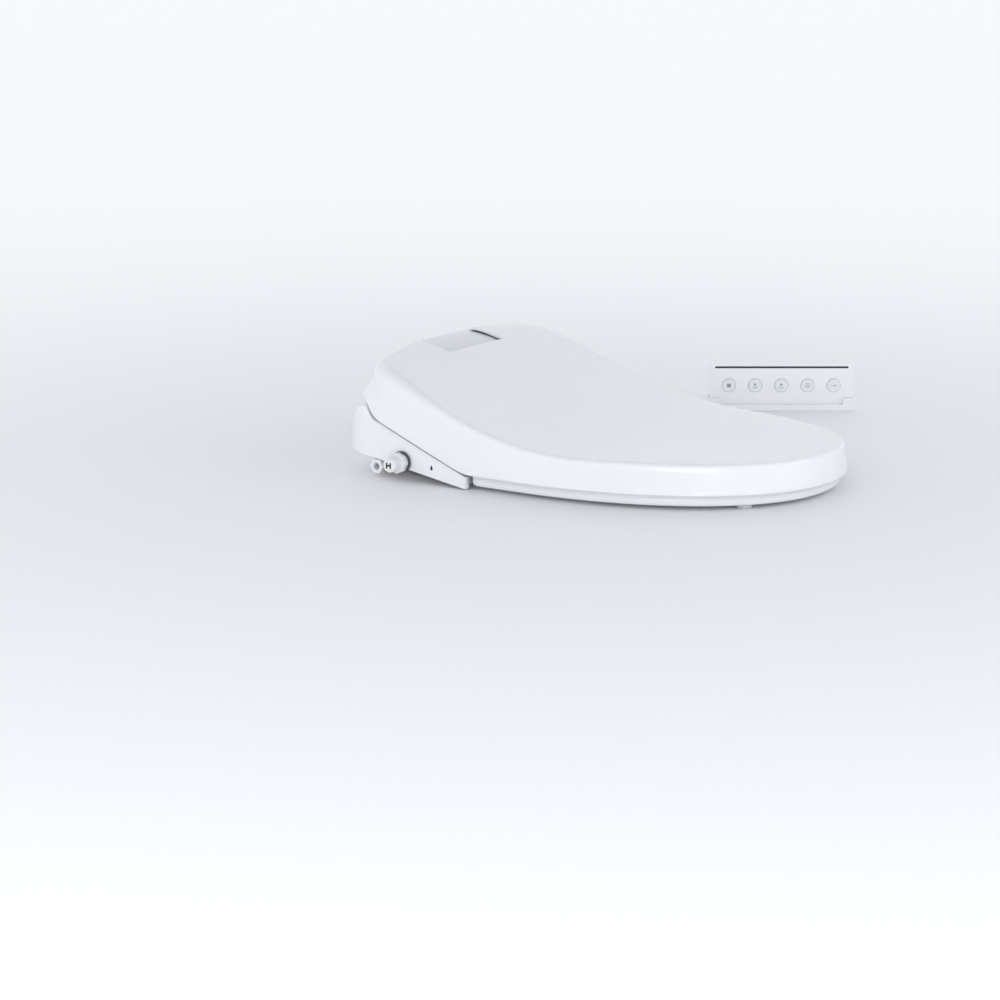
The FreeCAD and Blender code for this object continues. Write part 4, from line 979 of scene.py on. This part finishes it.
@dataclass
class Cover:
    """Outer cover of the wash unit: dome, arm troughs, side cheeks and rear shelf."""

    form: CoverForm
    lid: LidForm
    paint: Paint
    wand: WandLine = WandLine()
    port_radius: float = 7.7

    def build(self) -> None:
        """Makes the cover's visible piece."""
        dome = self.dome().make("cover_moulding")
        cut_away(dome, self.wand.bore("port_tool", self.port_radius, 60, 140))
        rest = Shape()
        for part in (self.floor(), self.cheek()):
            rest.add(part).add(part.mirrored())
        rest.add(self.shelf())
        join(dome, rest.make("cover_rest"))
        self.paint.coat(dome, FINISHES["white_shell"])
        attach(dome, "wash_unit")
        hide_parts("top_cover")

    def dome(self) -> Shape:
        """The hollow middle part: the lid's own skin lowered by its wall and a clearance.

        Returns:
            The dome, open below.
        """
        form = self.form
        half, front, rear = form.dome
        box = [(-half, front), (half, front), (half, rear), (-half, rear)]
        line = respaced(rounded(box, 24, 20), 260)
        inward = -outward(line)
        spine = np.column_stack([line[:, 0] * 0.2, -8 + (line[:, 1] + 8) * 0.1])
        start = line + inward * form.dome_edge
        flats = [start * (1 - share) + spine * share for share in np.linspace(1, 0, 18)]
        outer = [np.column_stack([flat, self.lid.under(flat) - self.lid.wall - form.clear]) for flat in flats]
        brow = np.minimum(outer[-1][:, 2], 200)
        for turn in np.linspace(math.pi / 2, 0, 8)[1:]:
            flat = line + inward * form.dome_edge * (1 - math.cos(turn))
            outer.append(np.column_stack([flat, brow - form.dome_edge * (1 - math.sin(turn))]))
        level = np.full(len(line), form.foot)
        outer.append(np.column_stack([line, level]))
        inner = [row + np.column_stack([inward * form.wall, np.zeros(len(line))]) for row in outer[:17:-1]]
        inner = [row - (0, 0, form.wall) * (row[:, 2:] > form.foot + 1) for row in inner]
        inner += [row - (0, 0, form.wall) for row in outer[17::-1]]
        return loft(np.array(outer + inner))

    def floor(self) -> Shape:
        """The floor of one arm trough: a thin sloping plate with a level rear end.

        Returns:
            The floor on the side of positive x.
        """
        form = self.form
        front, turn, low, high = form.front + 1, form.trough_turn, form.trough_low, form.trough_high
        top = [(front, low), (turn, high), (form.side_rear, high)]
        under = [(form.side_rear, high - form.wall), (turn + 1, high - form.wall), (front, low - form.wall)]
        return prism(rounded(top + under, 1.0, 3), *form.trough, 0.8, SIDEWAYS)

    def brim(self, path: np.ndarray) -> np.ndarray:
        """Height just below the lid's lower edge, one gap under it.

        Args:
            path: Plan points of an open line.

        Returns:
            One height for each point.
        """
        return self.lid.lower(np.vstack([path, path[::-1]]))[: len(path)] - self.form.gap

    def cheek(self) -> Shape:
        """One side cheek: a rounded thin section carried from its front facet to the rear wall.

        Returns:
            The cheek on the side of positive x.
        """
        form = self.form
        line = self.lid.plan.outline(form.inset, 900)
        keep = line[(line[:, 0] > 0) & (line[:, 1] > form.front) & (line[:, 1] < 31)]
        turn_in = np.array([(keep[0, 0] - 9, form.front + 0.4), (keep[0, 0] - 3, form.front - 0.3)])
        back = np.column_stack([np.linspace(keep[-1, 0] - 4, 117, 12), np.full(12, form.side_rear)])
        path = np.vstack([turn_in, keep[1:], back])
        path = respaced(path, 200, closed=False)
        step = np.gradient(path, axis=0)
        normal = np.column_stack([step[:, 1], -step[:, 0]])
        normal /= np.linalg.norm(normal, axis=1, keepdims=True)
        high = self.brim(path)
        high = np.where(path[:, 1] > 26, np.minimum(high, form.cheek_top), high)
        low = form.hem(path[:, 1])
        rim, rows = 1.0, []
        for turn in np.linspace(0, 2 * math.pi, 24, endpoint=False):
            side, up = math.cos(turn), math.sin(turn)
            shift = -form.wall / 2 + np.sign(side) * (form.wall / 2 - rim) + rim * side
            level = np.where(up > 0, high - rim, low + rim) + rim * up
            rows.append(np.column_stack([path + normal * shift, level]))
        rows = np.swapaxes(np.array(rows), 0, 1)
        return loft(rows)

    def shelf(self) -> Shape:
        """The low shelf behind the lid, whose outer rim rises to the lid's edge at both corners.

        One section, a rounded rim with a ledge inside it, is carried along the rear outline. Its two
        ends sink into the cheeks.

        Returns:
            The shelf's closed surface.
        """
        form = self.form
        rear, corner, level = form.shelf
        foot, head, top = form.ear
        plan = Plan(rear=rear, corner=corner).outline(form.inset + 0.1, 900)
        kept = plan[plan[:, 1] > form.shelf_start]
        path = respaced(np.vstack([kept[kept[:, 0] > 0], kept[kept[:, 0] <= 0]]), 320, closed=False)
        step = np.gradient(path, axis=0)
        inward = np.column_stack([-step[:, 1], step[:, 0]])
        inward /= np.linalg.norm(inward, axis=1, keepdims=True)
        path = path + inward * (2.5 * smooth((20 - path[:, 1]) / 28))[:, None]
        x = np.abs(path[:, 0])
        floor = level + (top - level) * smooth((x - foot) / (head - foot))
        start, full, peak = form.rim
        high = floor + (peak - floor) * smooth((x - start) / (full - start))
        high = np.minimum(high, np.maximum(self.brim(path), 50))
        ledge = np.minimum(floor, high) - 0.6
        low = form.hem(path[:, 1])
        turn = np.linspace(0, math.pi / 2, 6)
        outer, inner = form.rim_edge, form.rim_edge / 2
        section = [(0.8, low), (0.0, low + 0.8)]
        section += [(outer * (1 - math.cos(a)), high - outer * (1 - math.sin(a))) for a in turn]
        thick = form.rim_thick
        section += [(thick - inner * math.cos(a), high - inner * (1 - math.sin(a))) for a in turn[::-1]]
        section += [(thick + 0.4, ledge), (form.shelf_depth, ledge), (form.shelf_depth, low)]
        rows = [np.column_stack([path + inward * inset, level]) for inset, level in section]
        return loft(np.swapaxes(np.array(rows), 0, 1))


def respaced(line: np.ndarray, count: int, closed: bool = True) -> np.ndarray:
    """Spaces points evenly along a line.

    Args:
        line: Points of the line.
        count: Number of points wanted.
        closed: Whether the last point joins the first.

    Returns:
        The new points.
    """
    full = np.vstack([line, line[:1]]) if closed else line
    gone = np.concatenate([[0], np.cumsum(np.linalg.norm(np.diff(full, axis=0), axis=1))])
    even = np.linspace(0, gone[-1], count, endpoint=not closed)
    return np.stack([np.interp(even, gone, full[:, k]) for k in (0, 1)], -1)


@dataclass
class Fittings:
    """Small fittings on the wash unit's side."""

    lid: LidForm
    paint: Paint
    cap_y: float = -30.0
    cap_z: float = 22.0
    cap_end: float = 212.3
    cap_profile: tuple[tuple[float, float], ...] = (
        (187.3, 7.5),
        (187.4, 9.3),
        (190.5, 9.3),
        (191.0, 10.9),
        (191.8, 11.4),
        (197.4, 11.4),
        (198.2, 10.9),
        (198.6, 9.0),
        (199.4, 8.7),
        (209.8, 8.4),
        (211.4, 8.0),
        (212.3, 7.0),
        (212.5, 5.6),
    )
    # outline of the dark ring at the cap's root, which is painted shade
    shade_ring_profile: tuple[tuple[float, float], ...] = (
        (186.3, 10.6),
        (186.3, 12.4),
        (187.0, 12.4),
        (187.0, 10.6),
    )
    drop_place: tuple[float, float] = (-71.0, 19.5)
    drop: tuple[tuple[float, float], ...] = (
        (0.2, 3.9),
        (-1.5, 0.4),
        (-1.7, -1.6),
        (0.0, -3.0),
        (1.7, -1.6),
        (1.4, 0.6),
    )

    def build(self) -> None:
        """Makes the strainer cap, its socket as dark strokes of painted shade, a dark ring of painted shade
        at its root, and the drop mark.
        """
        centre, way = Vector((0, self.cap_y, self.cap_z)), Vector((-1, 0, 0))
        cap = lathe(list(self.cap_profile), self._lobes(), centre, way).make("strainer_cap")
        self._piece(cap, "grey_knob", "strainer", "filter_cap")
        facing = np.array([[0.0, 0.0, -1.0, 0.0], [-1.0, 0.0, 0.0, self.cap_y], [0.0, 1.0, 0.0, self.cap_z]])
        # dark strokes on the cap's end paint the shade inside its socket; they stand slightly proud instead
        # of being cut in
        slot = Shape()
        for stroke in (bar(-3.4, -3.2, -1.5, 3.2), bar(1.5, -3.2, 3.4, 3.2), bar(-1.5, -0.9, 1.5, 0.9)):
            slot.add(prism(rounded(stroke, 0.4, 4), self.cap_end, self.cap_end + 0.5, 0.1, facing))
        self._piece(slot.make("strainer_socket_painted_shade"), "dark_plastic", "strainer")
        # dark ring around the cap's root: painted shade where the cap meets the cheek
        shade_ring = lathe(list(self.shade_ring_profile), np.ones((4, 72)), centre, way)
        self._piece(shade_ring.make("strainer_shade_ring"), "dark_plastic", "wash_unit", finish=CAP_ROOT_SHADE)
        across = self._side_at(self.drop_place[0])
        facing[:, 3] = (0.0, *self.drop_place)
        mark = prism(rounded(list(self.drop), 1.2, 6), across - 0.4, across + 0.12, 0.05, facing)
        self._piece(mark.make("drain_mark"), "dark_plastic", "wash_unit")

    def _lobes(self) -> np.ndarray:
        """Radius factors of the cap: eight waves, deep on its grip and shallow on its nose.

        Returns:
            One factor for each profile point and each point around.
        """
        place = np.array(self.cap_profile)[:, :1]
        wave = np.cos(8 * np.linspace(0, 2 * math.pi, 96, endpoint=False))[None]
        return 1 + 0.045 * wave * ((place > 190.8) & (place < 198.5)) + 0.02 * wave * (place > 199)

    def _side_at(self, y: float) -> float:
        """Distance of the cheek's outer face from the middle plane.

        Args:
            y: Place along the side.

        Returns:
            The distance.
        """
        line = self.lid.plan.outline(5.0, 900)
        side = line[(line[:, 0] > 0) & (line[:, 1] > -118) & (line[:, 1] < 0)]
        return float(np.interp(y, side[:, 1], side[:, 0]))

    def _piece(
        self,
        item: bpy.types.Object,
        slot: str,
        body: str,
        node: str | None = None,
        finish: Finish | None = None,
    ) -> None:
        """Paints a fitting and hangs it on its body.

        Args:
            item: The fitting.
            slot: Material slot of its finish.
            body: Body that it rides on.
            node: Node that it stands for, if any.
            finish: Finish to use instead of the slot's own.
        """
        self.paint.coat(item, finish or FINISHES[slot])
        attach(item, body)
        if node:
            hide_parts(node)


# ------------------------------------------------------------------ remote
class Icon(Enum):
    """Generic marks printed on the keys, as closed outlines in millimetres."""

    STOP = "key_stop"
    REAR = "key_rear_wash"
    FRONT = "key_front_wash"
    DRYER = "key_dryer"
    PRESSURE = "key_pressure"

    def outlines(self) -> list[list[tuple[float, float]]]:
        """Outlines of the mark.

        Returns:
            One closed outline for each stroke.
        """
        drop = [(0.0, 3.4), (-1.3, 1.2), (-1.4, 0.2), (0.0, -0.7), (1.4, 0.2), (1.3, 1.2)]
        marks = {
            Icon.STOP: [bar(-2.4, -2.4, 2.4, 2.4)],
            Icon.REAR: [drop, bar(-3.2, -3.2, 3.2, -2.4)],
            Icon.FRONT: [drop, bar(-3.2, -3.2, -0.6, -2.4), bar(0.6, -3.2, 3.2, -2.4)],
            Icon.DRYER: [bar(-3.0, -0.35 + k, 3.0, 0.35 + k) for k in (-2.2, 0.0, 2.2)],
            Icon.PRESSURE: [bar(-3.2, -0.4, -0.8, 0.4), bar(0.8, -0.4, 3.2, 0.4), bar(1.6, -1.2, 2.4, 1.2)],
        }
        return marks[self]


@dataclass
class RemoteMarks:
    """Pad-printed marks on the remote's keys."""

    frame: dict
    paint: Paint
    facing: tuple[float, float, float] = (-0.8348, -0.5505, 0.0)

    def build(self) -> None:
        """Prints each key's mark on its face."""
        facing = np.array(self.facing)
        side = np.cross((0.0, 0.0, 1.0), facing)
        for icon in Icon:
            mesh = self.frame["nodes"][icon.value].data
            spots = np.empty(len(mesh.vertices) * 3)
            mesh.vertices.foreach_get("co", spots)
            spots = spots.reshape(-1, 3) / MM
            reach = (spots @ facing).max()
            middle = (spots.max(0) + spots.min(0)) / 2
            middle += facing * (reach - middle @ facing)
            face = np.column_stack([side, (0.0, 0.0, 1.0), facing, middle])
            mark = Shape()
            for stroke in icon.outlines():
                mark.add(prism(rounded(stroke, 0.25, 4), -0.1, 0.05, 0.02, face))
            item = mark.make(f"mark_{icon.value}")
            self.paint.coat(item, INK)
            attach(item, f"{icon.value}_body")


# ------------------------------------------------------------------ scene
# Width in millimetres of the rounded edges on each of the frame's own nodes that has them.
ROUNDED: dict[str, float] = {
    "base_case": 0.6,
    "remote_front_case": 1.6,
    "remote_back_case": 1.6,
    "remote_bracket": 1.0,
    "release_button": 0.8,
    "window_panel": 0.4,
    "coupling_nut": 0.5,
    "battery_door": 0.4,
    "mounting_plate": 0.4,
}


@dataclass
class FrameNodes:
    """The frame's own nodes, painted and with broken edges."""

    frame: dict
    paint: Paint
    sharp: float = 40.0

    def build(self) -> None:
        """Paints every node with the finish of its material slot."""
        for row in self.frame["record"]["subparts"]:
            item = self.frame["nodes"][row["node"]]
            self.paint.coat(item, FINISHES[row["material_slot"]])
            width = ROUNDED.get(row["node"])
            if width:
                ease = item.modifiers.new("edge", "BEVEL")
                ease.width, ease.segments = width * MM, 3
                ease.limit_method, ease.angle_limit = "ANGLE", math.radians(self.sharp)
                ease.harden_normals = True


@dataclass(frozen=True)
class Lamp:
    """One soft rectangular light."""

    name: str
    place: tuple[float, float, float]
    power: float
    size: float
    tone: str = "#FFFFFF"

    def build(self, target: Vector) -> None:
        """Adds the light, aimed at a point.

        Args:
            target: Point that the light faces.
        """
        data = bpy.data.lights.new(self.name, "AREA")
        data.energy, data.size = self.power, self.size
        data.color = linear(self.tone)[:3]
        item = bpy.data.objects.new(self.name, data)
        item.location = self.place
        item.rotation_euler = (Vector(self.place) - target).to_track_quat("Z", "Y").to_euler()
        bpy.context.scene.collection.objects.link(item)


@dataclass
class Studio:
    """Camera, lights, pale surroundings and floor."""

    paint: Paint
    target: tuple[float, float, float] = (-0.2079, -0.1771, 0.0)
    turn: float = -56.58
    rise: float = 12.77
    away: float = 3.3581
    lens: float = 109.85
    sky: str = "#FBFCFF"
    glow: float = 1.03
    floor_half: float = 12000.0
    lamps: tuple[Lamp, ...] = (
        Lamp("key_window", (-2.8, -1.6, 0.75), 18.5, 1.4),
        Lamp("fill_wall", (0.6, -3.0, 0.9), 6.0, 1.6),
    )

    def build(self) -> None:
        """Sets up the camera, the lights, the world and the floor."""
        turn, rise = math.radians(self.turn), math.radians(self.rise)
        back = Vector((math.sin(turn) * math.cos(rise), -math.cos(turn) * math.cos(rise), math.sin(rise)))
        data = bpy.data.cameras.new("front_view")
        data.lens, data.sensor_width, data.clip_end = self.lens, 36.0, 60.0
        camera = bpy.data.objects.new("front_view", data)
        camera.location = Vector(self.target) + back * self.away
        camera.rotation_euler = back.to_track_quat("Z", "Y").to_euler()
        bpy.context.scene.collection.objects.link(camera)
        bpy.context.scene.camera = camera
        for lamp in self.lamps:
            lamp.build(Vector((0.0, -0.2, 0.05)))
        world = bpy.data.worlds.new("pale_room")
        world.use_nodes = True
        sky = world.node_tree.nodes["Background"]
        sky.inputs["Color"].default_value = linear(self.sky)
        sky.inputs["Strength"].default_value = self.glow
        bpy.context.scene.world = world
        bpy.context.scene.view_settings.view_transform = "Standard"
        half = self.floor_half
        floor = prism(np.array(bar(-half, -half, half, half)), -10, -0.3, 1.0)
        ground = floor.make("floor")
        self.paint.coat(ground, FLOOR)
        sheet = prism(np.array(bar(-900, -1100, 900, 700)), 1300, 1310, 1.0)
        shade = sheet.make("overhead_sheet")
        self.paint.coat(shade, SHADE)


def main() -> None:
    """Builds the visible model around the fixed frame."""
    logging.basicConfig(level=logging.INFO)
    bpy.ops.wm.read_factory_settings(use_empty=True)
    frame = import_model()
    paint = Paint()
    lid = LidForm()
    assemblies = (
        FrameNodes(frame, paint),
        Lid(lid, paint),
        Seat(SeatForm(), paint),
        Cover(CoverForm(), lid, paint),
        Fittings(lid, paint),
        RemoteMarks(frame, paint),
        Studio(paint),
    )
    for assembly in assemblies:
        assembly.build()
        LOG.info("%s is built", type(assembly).__name__)


if __name__ == "__main__":
    main()
